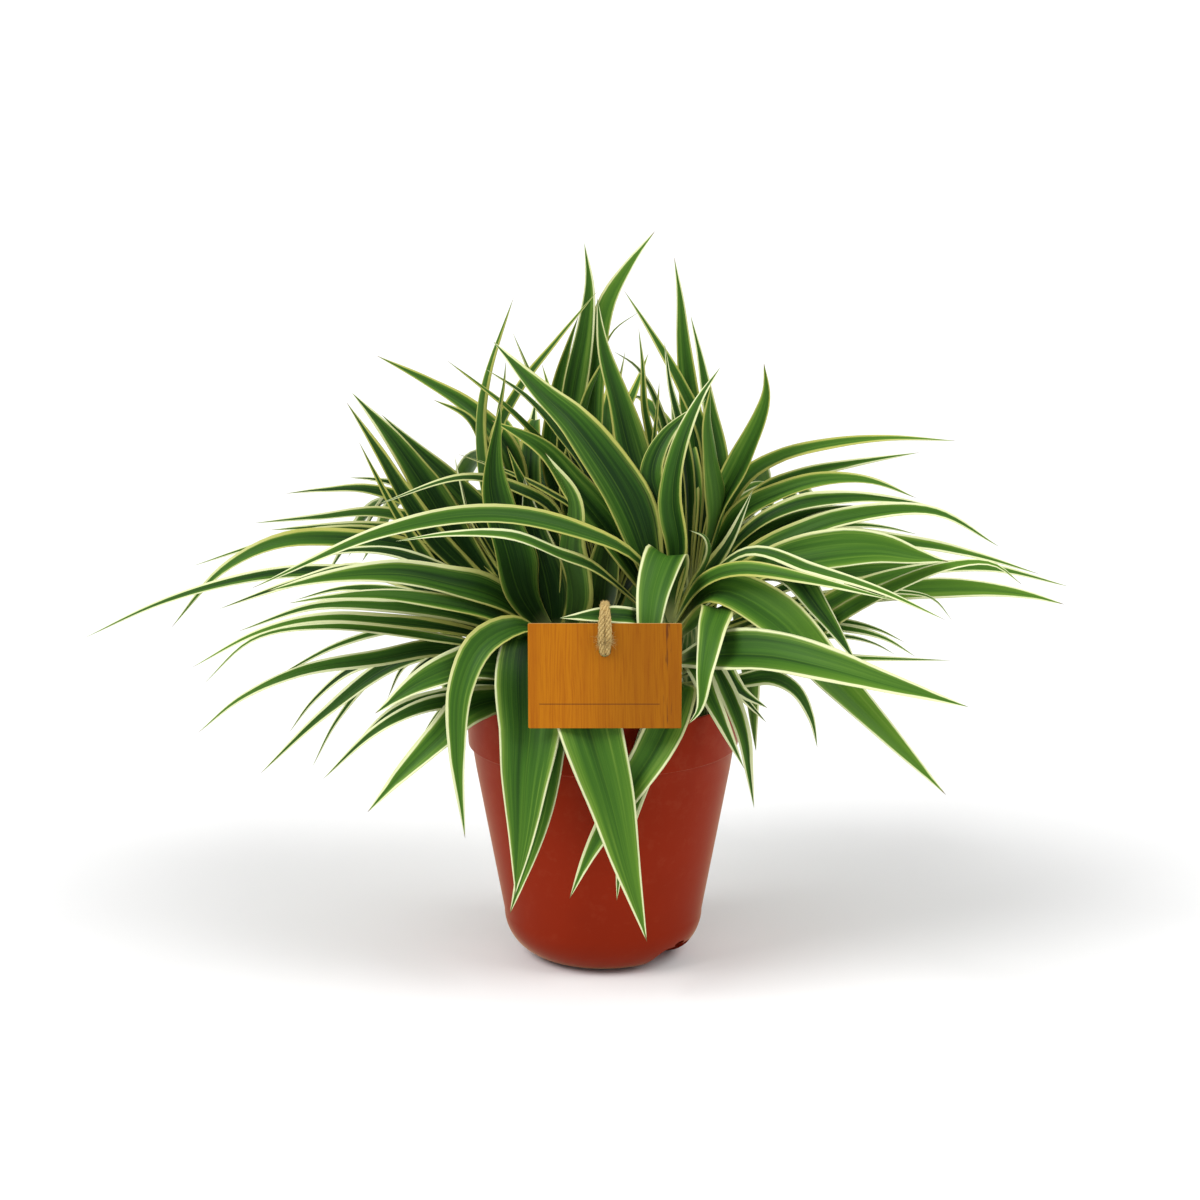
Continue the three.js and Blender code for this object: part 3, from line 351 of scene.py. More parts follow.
class LeafSettings(bpy.types.PropertyGroup):
    """Colours and fineness of the leaves."""

    # Deep Green also paints the shade deep inside the plant, and Bright Green the light on the blades that
    # lie out from it
    deep: colour("Deep Green", "The darkest stripes in the middle of a blade", (0.009, 0.034, 0.006))
    green: colour("Green", "The middle of a blade", (0.040, 0.120, 0.012))
    bright: colour("Bright Green", "The blade towards its tip", (0.098, 0.215, 0.020))
    pale: colour("Pale Green", "The light stripes on each side of the midrib", (0.20, 0.32, 0.05))
    beside: colour("Beside the Edge", "The light stripes next to the edges", (0.30, 0.42, 0.07))
    under: colour("Underside", "What the underside is tinted with", (0.16, 0.28, 0.06))
    cream: colour("Cream Edge", "The edges towards the tips", (0.74, 0.77, 0.44))
    # Yellow Edge also paints the shade on the edges deep inside the plant
    yellow: colour("Yellow Edge", "The edges near the crown and of the young leaves", (0.46, 0.46, 0.11))
    tip: colour("Dry Tip", "The last few millimetres of some tips", (0.22, 0.15, 0.06))
    sheath: colour("Sheath", "The pale foot of the leaves", (0.45, 0.50, 0.20))
    margin: length("Margin", "Middling width of the pale edge on each side", 0.0013)
    stations: count("Stations", "Rings along each blade", 34, 4)
    sides: count("Sides", "Corners round each blade, a multiple of four", 16, 4)
    ripple: number(
        "Ripple", "How far the edges wave, as a share of the half width", 0.07, max=1, subtype="FACTOR"
    )


class PotSettings(bpy.types.PropertyGroup):
    """Colour and fineness of the pot."""

    terracotta: colour("Terracotta", "The moulded plastic", (0.255, 0.018, 0.0030))
    # the colour of pale specks, which crowd towards the rim as painted light
    dust: colour("Rim Light Specks", "The faint bloom towards the rim", (0.42, 0.12, 0.06))
    sides: count("Sides", "Facets round the pot", 192, 12)
    lip: length("Lip", "Radius of the rounded edges", 0.0006)


class SoilSettings(bpy.types.PropertyGroup):
    """Colour and crumb of the potting soil."""

    peat: colour("Peat", "The soil itself", (0.020, 0.012, 0.007))
    fibre: colour("Fibre", "The lighter crumbs", (0.095, 0.055, 0.028))
    crumb: length("Crumb", "Radius of a middling crumb", 0.0011)
    crowding: number("Crowding", "Crumbs for each square metre", 190000)


class CardSettings(bpy.types.PropertyGroup):
    """Colours of the card tag."""

    light: colour("Light Grain", "The printed wood", (0.45, 0.153, 0.003))
    dark: colour("Dark Grain", "Its darker grain", (0.33, 0.088, 0.002))
    ink: colour("Ink", "The ruled line and the worn streaks", (0.10, 0.028, 0.006))
    edge: colour("Cut Edge", "The card where it is cut", (0.50, 0.27, 0.10))
    line: length("Rule Height", "The ruled line above the card's lower edge", 0.0103)


class TwineSettings(bpy.types.PropertyGroup):
    """Colour, lay and fuzz of the jute twine."""

    jute: colour("Jute", "The fibre", (0.42, 0.28, 0.09))
    pale: colour("Pale Jute", "The lighter fibre", (0.62, 0.46, 0.19))
    plies: count("Plies", "Plies twisted into each strand", 5, 2)
    ply: length("Ply Radius", "Radius of one ply", 0.00058)
    turns: count("Turns", "Turns of the plies in one round of the loop", 5)
    hair: length("Hair", "Length of the loose fibres", 0.0026)


class StageSettings(bpy.types.PropertyGroup):
    """Floor and lights."""

    floor: colour("Floor", "The pale floor", (0.88, 0.88, 0.88))
    key: number("Key Light", "Strength of the light from the left", 2.2)
    fill: number("Fill Light", "Strength of the light from the right", 1.5)
    sky: number("Sky", "Strength of the light from all round", 0.5)


SETTINGS = {
    "plant_leaves": LeafSettings,
    "plant_pot": PotSettings,
    "plant_soil": SoilSettings,
    "plant_card": CardSettings,
    "plant_twine": TwineSettings,
    "plant_stage": StageSettings,
}


# ---------- node trees ----------
def titled(key):
    """A socket's name from a keyword."""
    return key.replace("_", " ").title().replace("Ior", "IOR")


def maths(operation):
    """A method that adds this Math node for a wire and, where it takes one, another value."""
    return lambda wire, *others: wire.math(operation, wire, *others)


class Wire:
    """An output of a node. Arithmetic on it adds the Math nodes to its tree."""

    def __init__(self, tree, socket):
        self.tree = tree
        self.socket = socket

    def math(self, operation, *values):
        return self.tree.add("ShaderNodeMath", {"operation": operation}, dict(enumerate(values)))[0]

    def __rsub__(self, other):
        return self.math("SUBTRACT", other, self)

    __add__ = __radd__ = maths("ADD")
    __sub__ = maths("SUBTRACT")
    __mul__ = __rmul__ = maths("MULTIPLY")
    __truediv__ = maths("DIVIDE")
    __pow__ = maths("POWER")
    __abs__ = maths("ABSOLUTE")
    sin = maths("SINE")
    cos = maths("COSINE")
    at_most = maths("MINIMUM")


class Made:
    """A node that was added: its outputs by place, identifier or name."""

    def __init__(self, tree, node):
        self.tree = tree
        self.node = node

    def __getitem__(self, key):
        return Wire(self.tree, socket_of(self.node.outputs, key))


def socket_of(sockets, key):
    """The socket at this place, or else with this identifier or name."""
    if isinstance(key, int):
        return sockets[key]
    by_identifier = [s for s in sockets if s.identifier == key]
    return (by_identifier or [s for s in sockets if s.name == key])[0]


class Tree:
    """A node tree, with one method that adds any node."""

    def __init__(self, tree):
        self.tree = tree

    def add(self, kind, settings=None, values=None):
        """Adds a node of this type, with its settings and then the values or wires of its sockets."""
        node = self.tree.nodes.new(kind)
        for name, value in (settings or {}).items():
            setattr(node, name, value)
        for key, value in (values or {}).items():
            self.feed(socket_of(node.inputs, key), value)
        return Made(self, node)

    def feed(self, socket, value):
        """Gives the socket a wire, a list of wires, or a value."""
        wires = value if isinstance(value, list) else [value]
        if isinstance(wires[0], Wire):
            for wire in wires:
                self.tree.links.new(wire.socket, socket)
        elif socket.type == "RGBA":
            socket.default_value = (*value, 1)[:4]
        else:
            socket.default_value = value

    # arithmetic on vectors and colours
    def vector(self, operation, *values):
        return self.add("ShaderNodeVectorMath", {"operation": operation}, dict(enumerate(values)))[0]

    def scaled(self, vector, by):
        return self.add("ShaderNodeVectorMath", {"operation": "SCALE"}, {"Vector": vector, "Scale": by})[0]

    def joined(self, x=0.0, y=0.0, z=0.0):
        return self.add("ShaderNodeCombineXYZ", {}, {"X": x, "Y": y, "Z": z})[0]

    def parts(self, vector):
        made = self.add("ShaderNodeSeparateXYZ", {}, {"Vector": vector})
        return made["X"], made["Y"], made["Z"]

    def between(self, factor, low, high):
        values = {"Factor_Float": factor, "A_Color": low, "B_Color": high}
        return self.add("ShaderNodeMix", {"data_type": "RGBA"}, values)["Result_Color"]

    def step(self, value, start, end):
        """0 before start and 1 after end, smooth between them; start may be above end."""
        values = {"Value": value, "From Min": start, "From Max": end}
        return self.add("ShaderNodeMapRange", {"interpolation_type": "SMOOTHSTEP"}, values)["Result"]

    def grain(self, place, scale=1.0, detail=2.0, roughness=0.5):
        values = {"Vector": place, "Scale": scale, "Detail": detail, "Roughness": roughness}
        return self.add("ShaderNodeTexNoise", {}, values)["Fac"]


class Finish(Tree):
    """A material's node tree, ending in one Principled shader."""

    def __init__(self, name):
        self.material = bpy.data.materials.new(name)
        self.material.use_nodes = True
        super().__init__(self.material.node_tree)
        self.tree.nodes.clear()
        self.shader = self.add("ShaderNodeBsdfPrincipled")
        self.add("ShaderNodeOutputMaterial", {}, {"Surface": self.shader["BSDF"]})

    def attribute(self, name):
        return self.add("ShaderNodeAttribute", {"attribute_name": name})["Fac"]

    def place(self):
        return self.add("ShaderNodeTexCoord")["Object"]

    def end(self, base_color, roughness, height=None, depth=0.0002, strength=0.5, **constants):
        """Links what varies to the shader's sockets, and sets its constants on them."""
        inputs = self.shader.node.inputs
        self.feed(inputs["Base Color"], base_color)
        self.feed(inputs["Roughness"], roughness)
        if height is not None:
            values = {"Strength": strength, "Distance": depth, "Height": height}
            self.feed(inputs["Normal"], self.add("ShaderNodeBump", {}, values)["Normal"])
        for name, value in constants.items():
            self.feed(inputs[titled(name)], value)
        return self.material


class Shaper(Tree):
    """A Geometry Nodes tree: takes a mesh and named values, and ends realised and with its material."""

    def __init__(self, name, **sockets):
        super().__init__(bpy.data.node_groups.new(name, "GeometryNodeTree"))
        ends = [("Geometry", "INPUT", "Geometry")]
        ends += [(titled(socket), "INPUT", kind) for socket, kind in sockets.items()]
        ends += [("Material", "INPUT", "Material"), ("Geometry", "OUTPUT", "Geometry")]
        for socket, side, kind in ends:
            self.tree.interface.new_socket(socket, in_out=side, socket_type="NodeSocket" + kind)
        self.inputs = self.add("NodeGroupInput")

    def __getitem__(self, name):
        return self.inputs[name]

    def node(self, kind, output, **values):
        """An output of a geometry node that needs no settings, its sockets given by name."""
        values = {titled(key): value for key, value in values.items()}
        return self.add("GeometryNode" + kind, {}, values)[output]

    def named(self, name, kind="FLOAT"):
        return self.add("GeometryNodeInputNamedAttribute", {"data_type": kind}, {"Name": name})["Attribute"]

    def stored(self, geometry, name, value, kind="FLOAT", domain="POINT"):
        settings = {"data_type": kind, "domain": domain}
        values = {"Geometry": geometry, "Name": name, "Value": value}
        return self.add("GeometryNodeStoreNamedAttribute", settings, values)["Geometry"]

    def drawn(self, low, high, seed, kind="FLOAT"):
        suffix = "_001" if kind == "FLOAT" else ""
        values = {"Min" + suffix: low, "Max" + suffix: high, "Seed": seed}
        return self.add("FunctionNodeRandomValue", {"data_type": kind}, values)["Value" + suffix]

    def end(self, geometry, smooth=True):
        real = self.node("RealizeInstances", "Geometry", geometry=geometry)
        shaded = self.add("GeometryNodeSetShadeSmooth", {}, {0: real, "Shade Smooth": smooth})[0]
        finished = self.node("SetMaterial", "Geometry", geometry=shaded, material=self["Material"])
        self.add("NodeGroupOutput", {}, {"Geometry": finished})
        return self.tree


def shaped(name, start, tree, **values):
    """The plain mesh that the tree makes of the start mesh with these values."""
    source = added(name + ".source", start)
    modifier = source.modifiers.new(tree.name, "NODES")
    modifier.node_group = tree
    wanted = {titled(key): value for key, value in values.items()}
    for item in tree.interface.items_tree:
        if item.in_out == "INPUT" and item.name in wanted:
            modifier[item.identifier] = wanted[item.name]
    return plain(name, source)


# ---------- meshes ----------
MERGED = 2e-6  # metres within which corners are one


def added(name, data):
    """A new object in the scene."""
    obj = bpy.data.objects.new(name, data)
    bpy.context.scene.collection.objects.link(obj)
    return obj


def mesh_of(form, name):
    """The form as a mesh; the form goes."""
    mesh = bpy.data.meshes.new(name)
    form.to_mesh(mesh)
    form.free()
    return mesh


def plain(name, source):
    """The source with its modifiers as a plain mesh; the source goes."""
    depsgraph = bpy.context.evaluated_depsgraph_get()
    mesh = bpy.data.meshes.new_from_object(
        source.evaluated_get(depsgraph), preserve_all_data_layers=True, depsgraph=depsgraph
    )
    mesh.name = name
    bpy.data.objects.remove(source)
    return mesh


def facing_out(mesh):
    """The mesh with its doubles merged and its faces turned outwards."""
    form = bmesh.new()
    form.from_mesh(mesh)
    bmesh.ops.remove_doubles(form, verts=form.verts, dist=MERGED)
    bmesh.ops.recalc_face_normals(form, faces=form.faces)
    form.to_mesh(mesh)
    form.free()
    return mesh


def placed(name, mesh, material, slot, *nodes):
    """A finished piece: it rides on the root, wears the material given and stands for the nodes. The slot is
    not used.
    """
    if not mesh.materials:
        mesh.materials.append(material)
    mesh.name = name
    piece = added(name, mesh)
    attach(piece, ROOT)
    if nodes:
        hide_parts(*nodes)


def turned(section, sides, reach=None):
    """A section of (radius, height) points turned round Z, from axis to axis.

    reach(angle, height) scales the radius.
    """
    form = bmesh.new()
    rings = []
    for r, z in section:
        if r == 0:
            rings.append([form.verts.new((0, 0, z))])
            continue
        ring = []
        for i in range(sides):
            angle = 2 * math.pi * i / sides
            out = r * (reach(angle, z) if reach else 1)
            ring.append(form.verts.new((out * math.cos(angle), out * math.sin(angle), z)))
        rings.append(ring)
    for low, high in zip(rings, rings[1:]):
        for i in range(sides):
            k = i + 1
            corners = [low[i % len(low)], low[k % len(low)], high[k % len(high)], high[i % len(high)]]
            form.faces.new(list(dict.fromkeys(corners)))
    for face in form.faces:
        face.smooth = True
    bmesh.ops.recalc_face_normals(form, faces=form.faces)
    return mesh_of(form, "turned")


def arc(centre, radius, start, end, steps):
    """Points on an arc, its angles in degrees."""
    angles = np.radians(np.linspace(start, end, steps + 1))
    return [(centre[0] + radius * math.cos(a), centre[1] + radius * math.sin(a)) for a in angles]


def stretch(low, high, steps):
    """Points on the straight line from low to high, without high."""
    return [tuple(a + (b - a) * k / steps for a, b in zip(low, high)) for k in range(steps)]


def lengths_along(points):
    """How far along the line through the points each of them is."""
    return np.concatenate([[0], np.cumsum(np.linalg.norm(np.diff(points, axis=0), axis=1))])


def polyline(name, lines, **attributes):
    """A mesh of open or closed lines of points, with point attributes in the same order."""
    points = np.concatenate([line for line, _ in lines])
    edges = []
    first = 0
    for line, closed in lines:
        edges += [(first + i, first + i + 1) for i in range(len(line) - 1)]
        if closed:
            edges.append((first + len(line) - 1, first))
        first += len(line)
    mesh = bpy.data.meshes.new(name)
    mesh.from_pydata(points.tolist(), edges, [])
    for key, values in attributes.items():
        values = np.asarray(values, np.float32)
        kind, field = ("FLOAT_VECTOR", "vector") if values.ndim == 2 else ("FLOAT", "value")
        mesh.attributes.new(key, kind, "POINT").data.foreach_set(field, values.ravel())
    return mesh


# ---------- the leaves' paths, as in the part's own source ----------
def unit(v):
    return v / np.linalg.norm(v, axis=-1, keepdims=True)


def seen(across, up, depth):
    """The point at this depth that the eye sees at this mark."""
    scale = (depth - EYE[1]) / -EYE[1]
    return np.array((EYE[0] + (across - EYE[0]) * scale, depth, EYE[2] + (up - EYE[2]) * scale))


def foot_of(crown, towards, height):
    """Where a leaf leaves its crown's stem at this height, a little inside the stem."""
    x, y, top = CROWNS[crown]
    rise = (height - SOIL_TOP) / (top - SOIL_TOP)
    sunk = STEM["sunk_foot"] * (STEM["foot_r"] + (STEM["top_r"] - STEM["foot_r"]) * rise)
    out = unit(np.array((towards[0] - x, towards[1] - y)))
    return np.array((x + out[0] * sunk, y + out[1] * sunk, height))


def spine(points, shares):
    """Places at these shares of the way along a smooth curve through the points."""
    points = np.array(points)
    last = len(points) - 1
    padded = np.vstack([2 * points[0] - points[1], points, 2 * points[-1] - points[-2]])
    reached = lengths_along(points)
    along = np.clip(shares, 0, 1) * reached[-1]
    i = np.clip(np.searchsorted(reached, along, side="right") - 1, 0, last - 1)
    w = ((along - reached[i]) / (reached[i + 1] - reached[i]))[:, None]
    p0, p1, p2, p3 = (padded[i + k] for k in range(4))
    sides = ((p0, p1), (p1, p2), (p2, p3))
    d0, d1, d2 = (np.linalg.norm(b - a, axis=1, keepdims=True) ** 0.5 for a, b in sides)
    m1 = ((p1 - p0) / d0 - (p2 - p0) / (d0 + d1) + (p2 - p1) / d1) * d1
    m2 = ((p2 - p1) / d1 - (p3 - p1) / (d1 + d2) + (p3 - p2) / d2) * d1
    return p1 + w * (m1 + w * (-3 * p1 + 3 * p2 - 2 * m1 - m2 + w * (2 * p1 - 2 * p2 + m1 + m2)))


def leaf_along(crown, width, widest, points, turn):
    """One leaf as its points, sizes and the level direction across it."""
    heading = unit((points[-1] - points[0])[:2])
    side = np.array((heading[1], -heading[0], 0))
    return {"crown": crown, "width": width, "widest": widest, "turn": turn, "points": points, "side": side}


def traced_leaf(row, nudge):
    """A traced leaf, its marks shifted in depth by the nudge, and the tip's the most."""
    crown, width, widest, *marks = row
    steps = [nudge * DEPTH_STEP * (i + 1) / len(marks) for i in range(len(marks))]
    points = [seen(across, up, depth + step) for (across, up, depth), step in zip(marks, steps)]
    low = SOIL_TOP + FOOT["start"] + FOOT["share"] * (points[0][2] - SOIL_TOP)
    height = max(min(low, CROWNS[crown][2] - FOOT["below_top"]), SOIL_TOP + FOOT["above_soil"])
    return leaf_along(crown, width, widest, [foot_of(crown, points[0], height), *points], BLADE["turn"])


def hidden_rows():
    """The hidden leaves' measures, drawn in order."""
    drawn = SEED

    def draw(limits):
        nonlocal drawn
        drawn = (drawn * MULTIPLIER) % MODULUS
        low, high = limits
        return low + (high - low) * drawn / MODULUS

    rows = []
    for crown, kind, leaves, first, last in HIDDEN:
        for i in range(leaves):
            sizes = [draw(KINDS[kind][key]) for key in ("width", "reach", "peak", "tip", "foot")]
            turn = draw(HIDDEN_TURN)
            heading = first + (last - first) / leaves * (i + draw(HIDDEN_PLACE))
            rows.append((crown, *sizes, turn, heading))
    return rows


def hidden_leaf(row, nudge):
    """A hidden leaf, turned round its crown by the nudge."""
    crown, width, reach, peak, tip, foot, turn, heading = row
    angle = math.radians(heading + nudge * HEADING_STEP)
    x, y, top = CROWNS[crown]
    height = top - foot
    points = [
        np.array((
            x + math.cos(angle) * reach * part,
            y + math.sin(angle) * reach * part,
            height + (peak * of_peak + tip * of_tip),
        ))
        for part, of_peak, of_tip in HIDDEN_BEND
    ]
    return leaf_along(crown, width, BLADE["widest"], [foot_of(crown, points[2], height), *points], turn)


def corners_of(node):
    """A search tree of a CAD node's corners, in millimetres."""
    vertices = frame["nodes"][node].data.vertices
    found = kdtree.KDTree(len(vertices))
    for vertex in vertices:
        found.insert(vertex.co / MM, vertex.index)
    found.balance()
    return found


def standing_leaves():
    """Every leaf at that one of the places tried where its crown's solid ends in its tip."""
    corners = {crown: corners_of("crown_" + crown) for crown in CROWNS}
    traced_rows = [(crown, *row) for crown, rows in TRACED.items() for row in rows]
    leaves = [{**traced_leaf(CARRIER, 0), "turn": CARRIER_TURN}]
    for make, rows in ((traced_leaf, traced_rows), (hidden_leaf, hidden_rows())):
        for row in rows:
            for leaf in (make(row, nudge) for nudge in NUDGES):
                if corners[leaf["crown"]].find(leaf["points"][-1])[2] < SAME_PLACE:
                    leaves.append(leaf)
                    break
            else:
                raise ValueError(f"no solid ends in the tip of {row}")
    return leaves


def blade_lines(leaves, stations, draws):
    """The leaves' midribs as lines, with each point's place, directions, sizes and colouring."""
    shares = 1 - (1 - np.linspace(0, 1, stations)) ** TIP_CROWDS
    nudge = 1e-4
    lines, blades = [], []
    for leaf in leaves:
        centre = spine(leaf["points"], shares)
        ahead = unit(spine(leaf["points"], shares + nudge) - spine(leaf["points"], shares - nudge))
        across = unit(leaf["side"] - ahead * (ahead @ leaf["side"])[:, None])
        rise = np.cross(across, ahead)
        roll = math.radians(leaf["turn"]) * -leaf["side"][1]
        near = np.clip(shares / leaf["widest"], 0, 1)
        far = np.clip((shares - leaf["widest"]) / (1 - leaf["widest"]), 0, 1)
        grown = BLADE["foot_share"] + (1 - BLADE["foot_share"]) * near * near * (3 - 2 * near)
        half = leaf["width"] / 2 * np.where(shares < leaf["widest"], grown, 1 - far ** BLADE["taper"])
        thick = BLADE["thick"] / 2 * (1 - BLADE["thinning"] * shares)
        thick = thick * np.clip((1 - shares) * TIP_THINS, 0, 1)
        # painted shade: each point's distance from the heart of the plant, near which the blades are painted
        # darkest
        away = np.linalg.norm((centre - SHADE_HEART) * SHADE_STRETCH, axis=1)
        lines.append((centre * MM, False))
        varying = {
            "station": centre * MM,
            "across": across * math.cos(roll) - rise * math.sin(roll),
            "rise": rise * math.cos(roll) + across * math.sin(roll),
            "half": half * MM,
            "thick": thick * MM,
            "along": shares,
            # the share of painted light: 0 in the painted shade near the heart of the plant, 1 far from it
            "open": np.clip((away - SHADE_DEEPEST_WITHIN) / (SHADE_GONE_FROM - SHADE_DEEPEST_WITHIN), 0, 1),
        }
        constants = {
            "leaf": draws.random(),
            "span": leaf["width"],
            "edge": draws.uniform(*EDGE_WIDTHS),
            "lean": draws.uniform(*EDGE_LEANS),
            "youth": (centre[:, 2].max() - YOUNG_FROM) / YOUNG_OVER + draws.uniform(*YOUTHS),
        }
        constants["youth"] = min(max(constants["youth"], 0), 1)
        blades.append(varying | {key: np.full(stations, value) for key, value in constants.items()})
    values = {key: np.concatenate([blade[key] for blade in blades]) for key in blades[0]}
    return polyline("midribs", lines, **values)


# ---------- shapers ----------
def blade_shaper():
    """Sweeps a thin folded section along each midrib, and gives each blade its own UV map."""
    tree = Shaper("leaf blades", sides="Int", fold="Float", ripple="Float")
    midribs = tree.node("MeshToCurve", "Curve", mesh=tree["Geometry"])
    ring = tree.node("CurvePrimitiveCircle", "Curve", resolution=tree["Sides"], radius=1.0)
    x, y, _ = tree.parts(tree.node("InputPosition", "Position"))
    ring = tree.stored(tree.stored(ring, "sideways", x), "face", y)
    swept = tree.node("CurveToMesh", "Mesh", curve=midribs, profile_curve=ring, fill_caps=True)
    sideways, face, along, half, leaf = map(tree.named, ("sideways", "face", "along", "half", "leaf"))
    phase = along * WAVES["along"] + leaf * WAVES["between"] + sideways * WAVES["across"]
    wave = phase.sin() * tree["Ripple"] * along * (1 - along) * 4
    lift = half * (abs(sideways) ** FOLD_CURVE * tree["Fold"] + wave * sideways * sideways)
    out = tree.scaled(tree.named("across", "FLOAT_VECTOR"), half * sideways)
    up = tree.scaled(tree.named("rise", "FLOAT_VECTOR"), lift + tree.named("thick") * face)
    place = tree.vector("ADD", tree.vector("ADD", tree.named("station", "FLOAT_VECTOR"), out), up)
    blades = tree.node("SetPosition", "Geometry", geometry=swept, position=place)
    blade_map = tree.joined(sideways * 0.5 + 0.5, along)
    return tree.end(tree.stored(blades, "blade", blade_map, "FLOAT2", "CORNER"))


def crumb_shaper():
    """Scatters crumbs over a surface, each one ball squashed and turned at random."""
    tree = Shaper("soil crumbs", radius="Float", crowding="Float", seed="Int")
    values = {"mesh": tree["Geometry"], "density": tree["Crowding"], "seed": tree["Seed"]}
    points = tree.node("DistributePointsOnFaces", "Points", **values)
    ball = tree.node("MeshIcoSphere", "Mesh", radius=tree["Radius"], subdivisions=1)
    squashed = tree.drawn((0.5, 0.4, 0.3), (1.7, 1.3, 0.9), tree["Seed"] + 1, "FLOAT_VECTOR")
    rotation = tree.drawn((0, 0, 0), (6.3, 6.3, 6.3), tree["Seed"] + 2, "FLOAT_VECTOR")
    values = {"points": points, "instance": ball, "rotation": rotation, "scale": squashed}
    return tree.end(tree.node("InstanceOnPoints", "Instances", **values), smooth=False)


def twine_shaper():
    """Lays plies round each closed line and stands loose fibres off them."""
    tree = Shaper(
        "twine", plies="Int", ply_radius="Float", lay="Float", turns="Float", hair="Float", seed="Int"
    )
    lines = tree.node("MeshToCurve", "Curve", mesh=tree["Geometry"])
    values = {"Geometry": lines, "Amount": tree["Plies"]}
    copies = tree.add("GeometryNodeDuplicateElements", {"domain": "SPLINE"}, values)
    start = copies["Duplicate Index"] * (2 * math.pi) / tree["Plies"]
    angle = tree.named("round") * tree["Turns"] * (2 * math.pi) + start
    sideways = tree.joined(x=1.0)
    outwards = tree.vector("CROSS_PRODUCT", tree.node("InputTangent", "Tangent"), sideways)
    reach = tree["Lay"] * tree.named("fullness")
    ways = ((sideways, angle.cos()), (outwards, angle.sin()))
    offset = tree.vector("ADD", *(tree.scaled(way, part * reach) for way, part in ways))
    laid = tree.node("SetPosition", "Geometry", geometry=copies["Geometry"], offset=offset)
    ring = tree.node("CurvePrimitiveCircle", "Curve", resolution=8, radius=tree["Ply Radius"])
    cords = tree.node("CurveToMesh", "Mesh", curve=laid, profile_curve=ring, scale=tree.named("fullness"))

    values = {"Mesh": cords, "Density": FIBRE["crowding"], "Seed": tree["Seed"]}
    roots = tree.add("GeometryNodeDistributePointsOnFaces", {}, values)
    sizes = {"radius_top": 0.0, "radius_bottom": FIBRE["r"], "depth": tree["Hair"]}
    hair = tree.node("MeshCone", "Mesh", vertices=3, **sizes)
    tilt = FIBRE["tilt"]
    bend = tree.drawn((-tilt, -tilt, 0), (tilt, tilt, 6.3), tree["Seed"] + 1, "FLOAT_VECTOR")
    bend = tree.add("FunctionNodeEulerToRotation", {}, {"Euler": bend})["Rotation"]
    values = {"Rotation": roots["Rotation"], "Rotate By": bend}
    rotation = tree.add("FunctionNodeRotateRotation", {"rotation_space": "LOCAL"}, values)["Rotation"]
    size = tree.drawn(FIBRE["shortest"], 1.0, tree["Seed"] + 2) * tree.named("fray")
    values = {"instance": hair, "rotation": rotation, "scale": tree.joined(1.0, 1.0, size)}
    hairs = tree.node("InstanceOnPoints", "Instances", points=roots["Points"], **values)
    return tree.end(tree.node("JoinGeometry", "Geometry", geometry=[hairs, cords]))


# ---------- finishes ----------
def striped_leaf(settings):
    """Dark green with lighter lengthwise stripes, cream or yellow edges, a pale foot and some dry tips;
    painted shade darkens the blades and their edges deep inside the plant.
    """
    finish = Finish("striped leaf")
    between, step, grain, joined = finish.between, finish.step, finish.grain, finish.joined
    across, along, _ = finish.parts(finish.add("ShaderNodeUVMap", {"uv_map": "blade"})["UV"])
    names = ("leaf", "span", "edge", "lean", "youth", "half", "open")
    # the last of these is the share of painted light, low in the painted shade deep inside the plant
    leaf, span, edge, lean, youth, half, painted_light_share = map(finish.attribute, names)
    outwards = abs(across * 2 - 1)
    millimetres = (across - 0.5) * span
    streaks = grain(joined(millimetres * 0.42 + leaf * 90, along * 1.3, leaf * 31), 1.0, 3.0, 0.55)
    veins = grain(joined(millimetres * 2.6 + leaf * 50, along * 2.5, leaf * 17))
    wander = grain(joined(along * 7 + leaf * 70, across * 1.5))
    bands = grain(joined(millimetres * 0.16 + leaf * 40, along * 0.7, leaf * 23))

    # the green between the edges: its stripes, with painted shade deep inside the plant and painted light out
    # from it
    lit = painted_light_share + (streaks - 0.5) * 0.9 + (bands - 0.5) * 0.7
    lit = lit + (outwards - 0.5) * 0.4 + (leaf - 0.5) * 0.3
    blade = between(step(lit, 0.1, 0.7), settings.deep, settings.green)
    blade = between(step(lit, 0.5, 1.2), blade, settings.bright)
    inner = step(streaks, 0.52, 0.68) * step(outwards, 0.2, 0.55) * step(lit, 0.1, 0.9)
    blade = between(inner * 0.45, blade, settings.pale)
    blade = between(step(veins, 0.5, 0.72) * 0.2, blade, settings.bright)
    blade = between(step(outwards, 0.045, 0.0) * 0.35, blade, settings.bright)

    # the edges
    # the edges are yellower near the crown and on young leaves, and darker and yellower deep inside the plant
    # as painted shade
    yellowed = youth + (0.45 - along) * 0.9 + (0.55 - painted_light_share) * 0.8 + (leaf - 0.5) * 0.8
    edges = between(step(yellowed, 0.1, 0.7), settings.cream, settings.yellow)
    edges = between(step(veins, 0.45, 0.75) * 0.35, edges, settings.bright)
    margin = edge * settings.margin * (0.6 + 0.8 * wander) * (1.15 - along * 0.55)
    margin = margin * (1 - youth * 0.25) / half
    start = 1 - margin.at_most(0.5) * (1 + lean * (across * 2 - 1))
    beside = step(outwards, start - 0.22, start) * step(veins, 0.35, 0.65)
    blade = between(beside * 0.5, blade, settings.beside)
    coloured = between(step(outwards, start - 0.035, start + 0.035), blade, edges)

    # the underside, the foot and the tip
    coloured = between(step(finish.attribute("face"), 0.1, -0.1) * 0.12, coloured, settings.under)
    coloured = between(step(along, 0.16, 0.02), coloured, settings.sheath)
    dry = step(along, 0.975, 0.995) * step(leaf, 0.35, 0.45)
    coloured = between(dry, coloured, settings.tip)
    height = veins * 0.6 + streaks * 0.4 - step(outwards, 0.06, 0.0) * 0.6
    return finish.end(coloured, veins * 0.16 + 0.40, height, 0.00018, 0.40, specular_ior_level=0.10)


